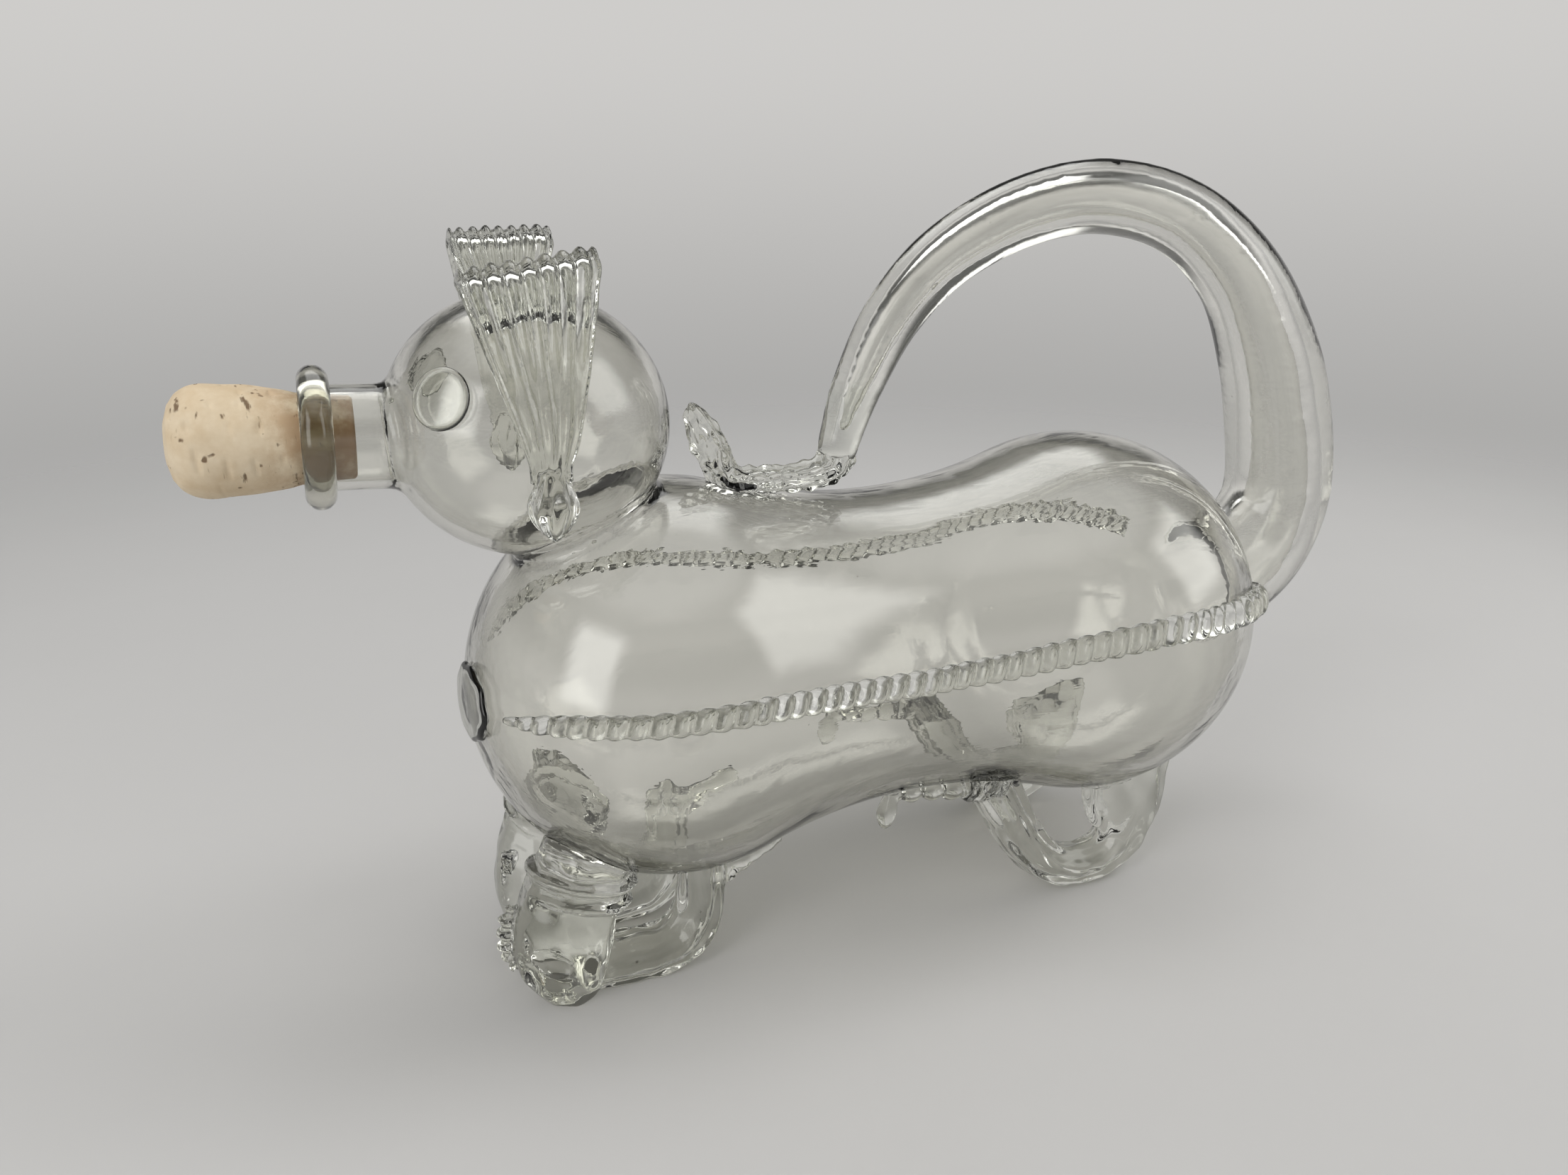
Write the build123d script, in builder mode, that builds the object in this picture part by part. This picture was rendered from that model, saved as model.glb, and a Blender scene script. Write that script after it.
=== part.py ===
from build123d import *
from math import acos, atan2, cos, degrees, radians, sin, sqrt
import os

os.makedirs("parts", exist_ok=True)

# A blown glass bottle in the shape of a standing dog. X runs from the nose (-X) to the tail (+X),
# Y to the dog's right, and Z = 0 is the table that its feet stand on. Sizes are millimetres.

# One overrun serves every cut that has to pass through a wall
overrun = 2.0

# Body: two bulbs joined by a waist, on one level axis
chest_x = -43.7
chest_radius = 42.2
rump_x = 56.8
rump_radius = 43.2
waist_arc_radius = 121.0
body_axis_height = 63.7
body_wall = 2.4

# Head: one bulb, slightly longer than it is wide, open to the chest below it
head_x = -69.2
head_rise_from_body = 55.9
head_half_length = 26.9
head_radius = 25.2
head_wall = 2.0
throat_radius = 10.6
nose_tilt = 3.0

# Snout: a short neck with an applied ring round its mouth
ring_x = -107.0
ring_rise_from_head = 0.3
ring_tube_radius = 2.7
ring_outer_radius = 13.0
neck_bore_radius = 8.1
neck_wall = 1.5
lip_length = 2.1
lip_round = 0.6

# Cork: it tapers into the neck and is held by its taper at the mouth
cork_clearance = 0.05
cork_depth = 8.4
cork_inner_end_radius = 7.5
cork_shoulder_radius = 8.7
cork_widest_radius = 10.0
cork_end_radius = 8.3
cork_stick_out = 22.25
cork_end_round = 2.4
cork_widest_share = 0.6
cork_end_crown = 0.9

# Breast drop: an oval seal of glass on the front of the chest
breast_drop_half_width = 9.5
breast_drop_half_height = 8.0
breast_drop_height = 1.7
breast_drop_edge_round = 1.1
breast_drop_turn = 8.0
breast_drop_rise = 4.0

# Eyes: two flat drops of glass
eye_radius = 5.5
eye_height = 1.5
eye_edge_round = 0.9
eye_turn = 45.0
eye_rise = 20.0

# Ears: ribbed ribbons that start on top of the head, roll over outwards and hang to a pinched drop
ear_thickness = 1.5
ear_rib_height = 0.7
ear_rib_count = 8
left_ear_top_width = 24.0
right_ear_top_width = 19.6
ear_pinch_width = 6.6
ear_pinch_drop = 5.0
ear_roll_radius = 3.9
ear_root_out = 13.6
ear_gap_to_head = 0.25
ear_rib_fill_share = 0.62
# The ribbon leans straight down to the head and follows it to this angle below the level of its centre
ear_end_drop = 11.0
ear_drop_radius = 4.2
ear_drop_shoulder_radius = 2.2
ear_drop_length = 10.4
ear_drop_belly_share = 0.45
left_ear_rise = 32.2
right_ear_rise = 35.6
left_ear_slope = 8.0
right_ear_slope = 1.5
left_ear_x = -70.4
right_ear_x = -69.4

# Tail: a thick tube drawn from the rump, bent over in an arch and set down on the back
tail_landing_x = -5.5
tail_span = 124.1
tail_rise = 95.4
tail_root_radius = 13.0
tail_bore_share = 0.56
tail_bore_mouth_radius = 3.4
# Each station: place along the span, place up the rise, radius, as shares of the sizes above
tail_station_shares = [
    (0.784, 0.003, 1.2),
    (0.881, 0.045, 1.13),
    (0.949, 0.103, 1.07),
    (0.992, 0.192, 1.01),
    (1.0, 0.29, 0.99),
    (0.976, 0.445, 0.97),
    (0.929, 0.616, 0.9),
    (0.836, 0.806, 0.755),
    (0.693, 0.945, 0.655),
    (0.521, 1.0, 0.615),
    (0.356, 0.974, 0.575),
    (0.204, 0.884, 0.53),
    (0.105, 0.76, 0.485),
    (0.044, 0.618, 0.425),
    (0.014, 0.51, 0.36),
    (0.003, 0.455, 0.33),
]
tail_bore_first_station = 2
tail_bore_last_station = 12

# Tail end: a flattened pad on the back and a pinched leaf that curls up from it
pad_length = 24.0
pad_half_height = 2.7
pad_half_width = 4.6
leaf_rise = 17.5
leaf_reach = 8.0
leaf_half_width = 3.7
leaf_half_thickness = 1.9

# Trails: a crimped thread of glass along each flank
trail_front_share = 0.884
trail_rear_share = 0.815
trail_tip_width = 1.4
trail_front_width = 4.0
trail_rear_width = 7.0
trail_taper_share = 0.1
trail_web_height = 1.3
trail_crimp_height = 2.4
trail_pitch = 3.9
trail_crimp_foot_share = 0.78
trail_crimp_top_share = 0.4
trail_sweep_below = 6.0
trail_sweep = 56.0
left_trail_angle = 12.0
right_trail_angle = 18.5
# Each row: place along the trail and angle above the level of the body's axis, as shares
left_trail_shares = [
    (0, 1.05),
    (0.13, 0.93),
    (0.26, 0.92),
    (0.36, 0.76),
    (0.47, 0.62),
    (0.58, 0.7),
    (0.67, 0.92),
    (0.77, 1.15),
    (0.9, 1.22),
    (1, 1.3),
]
right_trail_shares = [
    (0, 1.0),
    (0.2, 1.05),
    (0.34, 1.05),
    (0.55, 0.97),
    (0.69, 0.85),
    (0.84, 0.99),
    (0.94, 1.2),
    (1, 1.4),
]

# Legs: how far above the belly's lowest point the height that their shares count from is
leg_rise_past_belly = 8.5

# Front legs: a fat paw, a rod along the table and an arm back up to the belly
front_foot_x = -72.5
front_leg_length = 30.6
front_leg_out = 14.0
paw_radius = 9.8
rod_radius = 5.6
front_string_length = 19.0
front_string_radius = 2.6

# Rear legs: a round loop whose rear arm is pulled wide
rear_foot_x = 45.0
rear_leg_length = 33.0
rear_leg_out = 19.6
rear_rod_radius = 5.2
rear_string_length = 30.5
rear_string_radius = 2.5
rear_drop_length = 8.5
rear_drop_radius = 2.5

# The right legs aren't quite the left ones' mirror image: one stands further back, one leans in at its foot
rear_right_lag = 2.0
front_right_lean = 7.5

# Heights that follow from the body's and the head's
head_height = body_axis_height + head_rise_from_body
ring_height = head_height + ring_rise_from_head
ear_pinch_height = head_height - ear_pinch_drop
left_ear_top = head_height + left_ear_rise
right_ear_top = head_height + right_ear_rise
front_leg_height = body_axis_height - chest_radius + leg_rise_past_belly
rear_leg_height = body_axis_height - rump_radius + leg_rise_past_belly

# The trails end short of the body's poles
trail_front_x = chest_x - trail_front_share * chest_radius
trail_rear_x = rump_x + trail_rear_share * rump_radius

# Centres and axes that several pieces share
waist_span = rump_x - chest_x
chest_to_waist = chest_radius + waist_arc_radius
rump_to_waist = rump_radius + waist_arc_radius
waist_x = chest_x + (chest_to_waist**2 - rump_to_waist**2 + waist_span**2) / (2 * waist_span)
waist_rise = sqrt(chest_to_waist**2 - (waist_x - chest_x) ** 2)
body_axis = Axis((0, 0, body_axis_height), (1, 0, 0))
body_plane = Plane(origin=(0, 0, body_axis_height), x_dir=(1, 0, 0), z_dir=(0, -1, 0))
chest_centre = Vector(chest_x, 0, body_axis_height)
head_centre = Vector(head_x, 0, head_height)
ring_centre = Vector(ring_x, 0, ring_height)
nose_direction = Vector(-cos(radians(nose_tilt)), 0, sin(radians(nose_tilt)))
neck_radius = neck_bore_radius + neck_wall


def over_body(x, lift):
    """A point above the body's outline: the place x on its surface, moved out square to it by lift."""
    chest_edge = chest_x + (waist_x - chest_x) * chest_radius / chest_to_waist
    rump_edge = rump_x + (waist_x - rump_x) * rump_radius / rump_to_waist
    if chest_edge <= x <= rump_edge:
        scale = (waist_arc_radius - lift) / waist_arc_radius
        drop = sqrt(waist_arc_radius**2 - (x - waist_x) ** 2)
        return waist_x + (x - waist_x) * scale, waist_rise - drop * scale
    centre, radius = (chest_x, chest_radius) if x < chest_edge else (rump_x, rump_radius)
    scale = (radius + lift) / radius
    return centre + (x - centre) * scale, sqrt(radius**2 - (x - centre) ** 2) * scale


def body_radius(x):
    """Radius of the body's outer surface at a place along its axis."""
    return over_body(x, 0)[1]


def body_solid(lift=0):
    """The body filled to its outer surface, or to that surface moved outwards by lift."""
    chest_turn = degrees(atan2(waist_rise, waist_x - chest_x))
    rump_turn = degrees(atan2(waist_rise, waist_x - rump_x))
    with BuildPart() as solid:
        with BuildSketch(body_plane):
            with BuildLine():
                CenterArc((chest_x, 0), chest_radius + lift, 180, chest_turn - 180)
                CenterArc(
                    (waist_x, waist_rise), waist_arc_radius - lift, 180 + chest_turn, rump_turn - chest_turn
                )
                CenterArc((rump_x, 0), rump_radius + lift, rump_turn, -rump_turn)
                Line((rump_x + rump_radius + lift, 0), (chest_x - chest_radius - lift, 0))
            make_face()
        revolve(axis=body_axis)
    return solid.part


def head_solid(lift=0):
    """The head filled to its outer surface, or to that surface moved outwards by lift."""
    with BuildPart() as solid:
        with BuildSketch(Plane(origin=head_centre, x_dir=nose_direction, z_dir=(0, 1, 0))):
            with BuildLine():
                EllipticalCenterArc((0, 0), head_half_length + lift, head_radius + lift, arc_size=180)
                Line((-head_half_length - lift, 0), (head_half_length + lift, 0))
            make_face()
        revolve(axis=Axis(head_centre, nose_direction))
    return solid.part


def head_point(direction):
    """The place on the head's surface in a direction from its centre, and the surface's normal there."""
    along = direction.dot(nose_direction)
    aside = direction - nose_direction * along
    reach = 1 / sqrt((along / head_half_length) ** 2 + (aside.length / head_radius) ** 2)
    normal = nose_direction * (along / head_half_length**2) + aside * (1 / head_radius**2)
    return head_centre + direction * reach, normal.normalized()


def drawn_glass(stations):
    """Glass drawn through oval sections, each a place, a half depth in the route's plane and a half width."""
    places = [Vector(place) for place, _, _ in stations]
    with BuildPart() as drawn:
        for index, (place, half_depth, half_width) in enumerate(stations):
            before = places[max(index - 1, 0)]
            after = places[min(index + 1, len(places) - 1)]
            with BuildSketch(Plane(origin=place, x_dir=(0, 1, 0), z_dir=after - before)):
                Ellipse(half_width, half_depth)
        loft()
    return drawn.part


def nose_cylinder(radius, start, end):
    """A cylinder on the snout's axis between two distances from the ring, positive outwards."""
    with BuildPart() as cylinder:
        base = ring_centre + nose_direction * start
        with BuildSketch(Plane(origin=base, x_dir=(0, 1, 0), z_dir=nose_direction)):
            Circle(radius)
        extrude(amount=end - start)
    return cylinder.part


def tail_place(along_share, rise_share):
    """A point of the tail's centre line from its shares of the span and the rise."""
    return (tail_landing_x + along_share * tail_span, 0, body_axis_height + rise_share * tail_rise)


def tail_bore():
    """The hollow of the tail, from beyond the rump's wall to the last station that it reaches."""
    stations = []
    for index in range(tail_bore_first_station, tail_bore_last_station + 1):
        along_share, rise_share, radius_share = tail_station_shares[index]
        radius = radius_share * tail_root_radius * tail_bore_share
        if index == tail_bore_first_station:
            radius = tail_bore_mouth_radius
        stations.append((tail_place(along_share, rise_share), radius, radius))
    return drawn_glass(stations)


def tail_mouth():
    """The narrow round way from the rump's hollow into the hollow of the tail."""
    start = Vector(*tail_place(*tail_station_shares[0][:2]))
    end = Vector(*tail_place(*tail_station_shares[tail_bore_first_station][:2]))
    way = (end - start).normalized()
    with BuildPart() as mouth:
        with BuildSketch(Plane(origin=start, x_dir=(0, 1, 0), z_dir=way)):
            Circle(tail_bore_mouth_radius)
        extrude(amount=(end - start).length + overrun)
    return mouth.part


head_to_ring = (ring_centre - head_centre).length
throat_direction = (head_centre - chest_centre).normalized()
snout_bore_start = -head_to_ring + head_half_length / 2

# Body shell, open to the head above the chest and to the tail at the rump
with BuildPart() as body_shell:
    add(body_solid())
    add(body_solid(-body_wall), mode=Mode.SUBTRACT)
    with BuildSketch(Plane(origin=chest_centre, x_dir=(0, 1, 0), z_dir=throat_direction)):
        Circle(throat_radius)
    extrude(amount=chest_radius + overrun, mode=Mode.SUBTRACT)
    add(tail_mouth(), mode=Mode.SUBTRACT)
body_shell.part.label = "body_shell"
export_step(body_shell.part, "parts/body_shell.step")

# Head bulb, standing on the chest and open to it, with the snout's bore through its front
with BuildPart() as head_bulb:
    add(head_solid())
    add(head_solid(-head_wall), mode=Mode.SUBTRACT)
    add(body_solid(), mode=Mode.SUBTRACT)
    add(nose_cylinder(neck_bore_radius, snout_bore_start, lip_length), mode=Mode.SUBTRACT)
head_bulb.part.label = "head_bulb"
export_step(head_bulb.part, "parts/head_bulb.step")

# Snout neck, from the head to the mouth
with BuildPart() as snout_neck:
    add(nose_cylinder(neck_radius, snout_bore_start, lip_length))
    fillet(snout_neck.faces().sort_by(Axis(ring_centre, nose_direction))[-1].edges(), radius=lip_round)
    add(nose_cylinder(neck_bore_radius, snout_bore_start, lip_length + overrun), mode=Mode.SUBTRACT)
    add(head_solid(), mode=Mode.SUBTRACT)
snout_neck.part.label = "snout_neck"
export_step(snout_neck.part, "parts/snout_neck.step")

# Mouth ring, wound round the neck
with BuildPart() as mouth_ring:
    with BuildSketch(Plane(origin=ring_centre, x_dir=nose_direction, z_dir=(0, 1, 0))):
        with Locations((0, ring_outer_radius - ring_tube_radius)):
            Circle(ring_tube_radius)
    revolve(axis=Axis(ring_centre, nose_direction))
    add(nose_cylinder(neck_radius, -ring_outer_radius, ring_outer_radius), mode=Mode.SUBTRACT)
mouth_ring.part.label = "mouth_ring"
export_step(mouth_ring.part, "parts/mouth_ring.step")

# Cork stopper: its outline runs from the inner end to the outer end, measured from the mouth
cork_plane = Plane(origin=ring_centre + nose_direction * lip_length, x_dir=nose_direction, z_dir=(0, 1, 0))
cork_mouth_radius = neck_bore_radius - cork_clearance
cork_edge = (cork_stick_out - cork_end_crown, cork_end_radius - cork_end_round)
with BuildPart() as cork_stopper:
    with BuildSketch(cork_plane):
        with BuildLine():
            Polyline((0, 0), (-cork_depth, 0), (-cork_depth, cork_inner_end_radius), (0, cork_mouth_radius))
            Spline(
                (0, cork_mouth_radius),
                (ring_tube_radius, cork_shoulder_radius),
                (cork_widest_share * cork_stick_out, cork_widest_radius),
                (cork_stick_out - cork_end_round, cork_end_radius),
                cork_edge,
            )
            Polyline(cork_edge, (cork_stick_out, 0), (0, 0))
        make_face()
    revolve(axis=Axis(ring_centre, nose_direction))
cork_stopper.part.label = "cork_stopper"
export_step(cork_stopper.part, "parts/cork_stopper.step")


def eye_drop(side):
    """A flat round drop on the head; side is -1 for the left eye and 1 for the right."""
    level = cos(radians(eye_rise))
    turn = radians(eye_turn)
    direction = Vector(-level * cos(turn), side * level * sin(turn), sin(radians(eye_rise)))
    place, normal = head_point(direction)
    with BuildPart() as drop:
        with BuildSketch(Plane(origin=place - normal * eye_height, x_dir=(0, 0, 1), z_dir=normal)):
            Circle(eye_radius)
        extrude(amount=2 * eye_height)
        fillet(drop.faces().sort_by(Axis(place, normal))[-1].edges(), radius=eye_edge_round)
        add(head_solid(), mode=Mode.SUBTRACT)
    return drop.part


# Breast drop, pressed on the front of the chest
with BuildPart() as breast_drop:
    drop_level = cos(radians(breast_drop_rise))
    drop_normal = Vector(
        -drop_level * cos(radians(breast_drop_turn)),
        -drop_level * sin(radians(breast_drop_turn)),
        sin(radians(breast_drop_rise)),
    )
    drop_centre = chest_centre + drop_normal * chest_radius
    drop_base = drop_centre - drop_normal * breast_drop_height
    with BuildSketch(Plane(origin=drop_base, x_dir=(0, 1, 0), z_dir=drop_normal)):
        Ellipse(breast_drop_half_width, breast_drop_half_height)
    extrude(amount=2 * breast_drop_height)
    drop_face = breast_drop.faces().sort_by(Axis(drop_centre, drop_normal))[-1]
    fillet(drop_face.edges(), radius=breast_drop_edge_round)
    add(body_solid(), mode=Mode.SUBTRACT)
breast_drop.part.label = "breast_drop"
export_step(breast_drop.part, "parts/breast_drop.step")

# Left and right eyes
with BuildPart() as left_eye:
    add(eye_drop(-1))
left_eye.part.label = "left_eye"
export_step(left_eye.part, "parts/left_eye.step")

with BuildPart() as right_eye:
    add(eye_drop(1))
right_eye.part.label = "right_eye"
export_step(right_eye.part, "parts/right_eye.step")


def ear_strip(top, width, slope, thickness):
    """The right ear's ribbon at full width: up from the head, over the roll and down to the pinch."""
    surface = head_radius + ear_gap_to_head + ear_thickness / 2
    root_height = head_height + sqrt(head_radius**2 - ear_root_out**2) - ear_thickness
    inner_out = ear_root_out - ear_thickness / 2
    outer_out = inner_out + 2 * ear_roll_radius
    roll_height = top - ear_roll_radius - ear_thickness / 2 - ear_rib_height
    fall_start = Vector(outer_out, roll_height - head_height)
    touch_turn = degrees(atan2(fall_start.Y, fall_start.X) - acos(surface / fall_start.length))
    touch = (surface * cos(radians(touch_turn)), head_height + surface * sin(radians(touch_turn)))
    with BuildPart() as strip:
        with BuildSketch(Plane.YZ.offset(head_x)):
            with BuildLine():
                Line((ear_root_out, root_height), (inner_out, roll_height))
                ThreePointArc(
                    (inner_out, roll_height),
                    (inner_out + ear_roll_radius, roll_height + ear_roll_radius),
                    (outer_out, roll_height),
                )
                Line((outer_out, roll_height), touch)
                CenterArc((0, head_height), surface, touch_turn, -touch_turn - ear_end_drop)
            trace(line_width=thickness)
        extrude(amount=width, both=True)
    return strip.part.rotate(Axis((head_x, 0, roll_height), (0, 1, 0)), -slope)


def ear_blades(middle_x, top, width, spans):
    """Fan blades of the ear seen from the side, each between two shares of its width."""

    def edge(share):
        low_x = middle_x + (2 * share - 1) * ear_pinch_width / 2
        high_x = middle_x + (2 * share - 1) * width / 2
        return [
            (low_x, ear_pinch_height - overrun),
            (low_x, ear_pinch_height + ear_pinch_width),
            (high_x, top - 2 * ear_roll_radius),
            (high_x, top + ear_roll_radius),
        ]

    with BuildPart() as blades:
        with BuildSketch(Plane.XZ):
            for low_share, high_share in spans:
                with BuildLine():
                    Polyline(*edge(low_share), *reversed(edge(high_share)), close=True)
                make_face()
        extrude(amount=-2 * head_radius)
    return blades.part


def ear(middle_x, top, width, slope):
    """A rolled ribbed ear with its drop, on the right of the head."""
    with BuildPart() as ribbon:
        add(ear_strip(top, width, slope, ear_thickness))
        add(ear_blades(middle_x, top, width, [(0, 1)]), mode=Mode.INTERSECT)
    with BuildPart() as ribs:
        rib_spans = []
        for index in range(ear_rib_count):
            low_share = (index + (1 - ear_rib_fill_share) / 2) / ear_rib_count
            rib_spans.append((low_share, low_share + ear_rib_fill_share / ear_rib_count))
        add(ear_strip(top, width, slope, ear_thickness + 2 * ear_rib_height))
        add(ear_blades(middle_x, top, width, rib_spans), mode=Mode.INTERSECT)
    shoulder = (middle_x + ear_drop_shoulder_radius, ear_pinch_height + ear_thickness)
    with BuildPart() as drop:
        with BuildSketch(Plane.XZ.offset(-head_radius)):
            with BuildLine():
                Polyline(shoulder, (middle_x, shoulder[1]), (middle_x, ear_pinch_height - ear_drop_length))
                Spline(
                    (middle_x, ear_pinch_height - ear_drop_length),
                    (middle_x + ear_drop_radius, ear_pinch_height - ear_drop_length * ear_drop_belly_share),
                    shoulder,
                    tangents=[(ear_drop_length, ear_drop_radius), (-ear_drop_length, ear_drop_length)],
                )
            make_face()
        revolve(axis=Axis((middle_x, head_radius, 0), (0, 0, 1)))
    with BuildPart() as whole:
        add(ribbon.part)
        add(ribs.part)
        add(drop.part)
        add(head_solid(), mode=Mode.SUBTRACT)
    return whole.part


with BuildPart() as left_ear:
    add(mirror(ear(left_ear_x, left_ear_top, left_ear_top_width, left_ear_slope), about=Plane.XZ))
left_ear.part.label = "left_ear"
export_step(left_ear.part, "parts/left_ear.step")

with BuildPart() as right_ear:
    add(ear(right_ear_x, right_ear_top, right_ear_top_width, right_ear_slope))
right_ear.part.label = "right_ear"
export_step(right_ear.part, "parts/right_ear.step")

# Tail tube, hollow from the rump to the last bend
with BuildPart() as tail_tube:
    tail_stations = []
    for along_share, rise_share, radius_share in tail_station_shares:
        radius = radius_share * tail_root_radius
        tail_stations.append((tail_place(along_share, rise_share), radius, radius))
    add(drawn_glass(tail_stations))
    add(body_solid(), mode=Mode.SUBTRACT)
    add(tail_bore(), mode=Mode.SUBTRACT)
    add(tail_mouth(), mode=Mode.SUBTRACT)
tail_tube.part.label = "tail_tube"
export_step(tail_tube.part, "parts/tail_tube.step")

# Tail finial: the tube's end laid along the back as a flat pad, then pinched to a leaf that curls up
tail_end_place, tail_end_radius, _ = tail_stations[-1]
tail_end_x, _, tail_end_height = tail_end_place
pad_height = body_axis_height + body_radius(tail_landing_x - pad_length / 2) + pad_half_height
leaf_x = tail_landing_x - pad_length
# Each station: place back from the landing, height between the pad and the tube's end, depth and width
pad_station_shares = [(0.1, 0.28, 1.05, 1.0), (0.34, 0.0, 0.95, 1.0), (0.68, 0.05, 0.9, 0.94)]
# Each station: reach and rise of the leaf, half width and half thickness
leaf_station_shares = [
    (0.0, 0.06, 0.86, 1.7),
    (0.3, 0.3, 1.0, 1.15),
    (0.62, 0.62, 0.92, 0.95),
    (0.9, 0.9, 0.5, 0.6),
    (1.0, 1.0, 0.08, 0.12),
]
with BuildPart() as tail_finial:
    finial_stations = [(tail_end_place, tail_end_radius, tail_end_radius)]
    for back_share, height_share, depth_share, width_share in pad_station_shares:
        height = pad_height + height_share * (tail_end_height - pad_height)
        place = (tail_end_x - back_share * pad_length, 0, height)
        finial_stations.append((place, depth_share * pad_half_height, width_share * pad_half_width))
    for reach_share, rise_share, width_share, thickness_share in leaf_station_shares:
        place = (leaf_x - reach_share * leaf_reach, 0, pad_height + rise_share * leaf_rise)
        finial_stations.append((place, width_share * leaf_half_width, thickness_share * leaf_half_thickness))
    add(drawn_glass(finial_stations))
    add(body_solid(), mode=Mode.SUBTRACT)
tail_finial.part.label = "tail_finial"
export_step(tail_finial.part, "parts/tail_finial.step")


def trail_places():
    """Places along the body's axis, one trail pitch apart when measured over the glass."""
    places = [trail_front_x]
    while places[-1] < trail_rear_x - trail_pitch:
        x = places[-1]
        slope = (body_radius(x + overrun) - body_radius(x)) / overrun
        places.append(x + trail_pitch / sqrt(1 + slope**2))
    return places


def read_table(rows, share):
    """The value of a table of share pairs at a share, with straight lines between its rows."""
    for (low, low_value), (high, high_value) in zip(rows, rows[1:]):
        if share <= high:
            return low_value + (high_value - low_value) * (share - low) / (high - low)
    return rows[-1][1]


def trail_edge(length_share, angle, shares, half_share):
    """A point of the band's edge seen from the side; half_share is 1 at its top and -1 at its bottom."""
    x = trail_front_x + length_share * (trail_rear_x - trail_front_x)
    turn = angle * read_table(shares, length_share)
    full = trail_front_width + (trail_rear_width - trail_front_width) * length_share
    taper_share = sin(radians(90 * min(length_share / trail_taper_share, 1)))
    width = trail_tip_width + (full - trail_tip_width) * taper_share
    return (x, body_axis_height + body_radius(x) * sin(radians(turn)) + half_share * width / 2)


def trail(side, angle, shares):
    """A crimped trail on one flank; side is -1 for the left and 1 for the right."""
    edge_shares = [0, 0.03, 0.07, 0.13, 0.2, 0.3, 0.4, 0.5, 0.6, 0.7, 0.8, 0.88, 0.94, 1]
    comb = [over_body(trail_front_x, trail_web_height)]
    for place in trail_places()[1:]:
        foot = trail_pitch * trail_crimp_foot_share / 2
        crest = trail_pitch * trail_crimp_top_share / 2
        slope = (body_radius(place + overrun) - body_radius(place)) / overrun
        shorten = 1 / sqrt(1 + slope**2)
        comb.append(over_body(place - foot * shorten, trail_web_height))
        comb.append(over_body(place - crest * shorten, trail_crimp_height))
        comb.append(over_body(place + crest * shorten, trail_crimp_height))
        comb.append(over_body(place + foot * shorten, trail_web_height))
    comb.append(over_body(trail_rear_x + trail_pitch / 2, trail_web_height))
    comb.append(over_body(trail_rear_x + trail_pitch / 2, -body_wall))
    comb.append((waist_x, body_radius(waist_x) - body_wall))
    comb.append(over_body(trail_front_x, -body_wall))
    tilt = radians(trail_sweep_below)
    with BuildPart() as ribbed:
        with BuildSketch(Plane(origin=body_plane.origin, x_dir=(1, 0, 0), z_dir=(0, sin(tilt), cos(tilt)))):
            with BuildLine():
                Polyline(*comb, close=True)
            make_face()
        revolve(axis=body_axis, revolution_arc=trail_sweep)
    with BuildPart() as band:
        with BuildSketch(Plane.XZ):
            with BuildLine():
                top_edge = Spline(*[trail_edge(share, angle, shares, 1) for share in edge_shares])
                bottom_edge = Spline(*[trail_edge(share, angle, shares, -1) for share in edge_shares])
                Line(top_edge @ 0, bottom_edge @ 0)
                Line(top_edge @ 1, bottom_edge @ 1)
            make_face()
        extrude(amount=-2 * rump_radius)
        add(ribbed.part, mode=Mode.INTERSECT)
        add(body_solid(), mode=Mode.SUBTRACT)
    return band.part if side > 0 else mirror(band.part, about=Plane.XZ)


with BuildPart() as left_trail:
    add(trail(-1, left_trail_angle, left_trail_shares))
left_trail.part.label = "left_trail"
export_step(left_trail.part, "parts/left_trail.step")

with BuildPart() as right_trail:
    add(trail(1, right_trail_angle, right_trail_shares))
right_trail.part.label = "right_trail"
export_step(right_trail.part, "parts/right_trail.step")


def belly_height(x, out):
    """Height of the body's underside at a place along the body and out from its middle."""
    return body_axis_height - sqrt(body_radius(x) ** 2 - out**2)


def leg(side, lag, lean, route_sets):
    """A leg of drawn glass on one side, cut flat at the table; lean moves its foot inwards."""
    with BuildPart() as joined:
        for route in route_sets:
            stations = []
            for x, out, z, depth, width in route:
                foot_share = max(1 - z / front_leg_height, 0)
                stations.append(((x + lag, side * (out - lean * foot_share), z), depth, width))
            add(drawn_glass(stations))
        add(body_solid(), mode=Mode.SUBTRACT)
        with BuildSketch(Plane.XY):
            Rectangle(2 * waist_span, 2 * rump_radius)
        extrude(amount=-2 * paw_radius, mode=Mode.SUBTRACT)
    return joined.part


# Each station: place back from the foot, height up the leg, half depth and half width of the section
paw_station_shares = [
    (0.31, 1.27, 0.94, 0.94),
    (0.19, 0.98, 0.94, 0.94),
    (0.07, 0.67, 1.0, 0.98),
    (0.02, 0.4, 1.0, 0.98),
    (0.04, 0.2, 0.85, 0.84),
    (0.08, -0.03, 0.5, 0.52),
]
front_rod_station_shares = [
    (0.16, 0.18, 0.9, 0.9),
    (0.4, 0.172, 1.0, 1.0),
    (0.68, 0.172, 1.0, 1.0),
    (0.87, 0.235, 1.02, 1.0),
    (0.985, 0.42, 1.0, 0.96),
    (1.02, 0.65, 0.96, 0.92),
    (1.04, 0.98, 1.0, 0.9),
]
string_station_shares = [(0.0, 1.0), (0.25, 0.9), (0.5, 0.75), (0.75, 0.6), (1.0, 0.3)]


def string_route(start_x, out, length, radius):
    """The thin pulled end of a leg, laid along the belly from a place towards the other end."""
    stations = []
    for length_share, radius_share in string_station_shares:
        x = start_x + length_share * length
        width = radius * radius_share
        stations.append((x, out, belly_height(x, out) - width / 2, width, width))
    return stations


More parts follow.
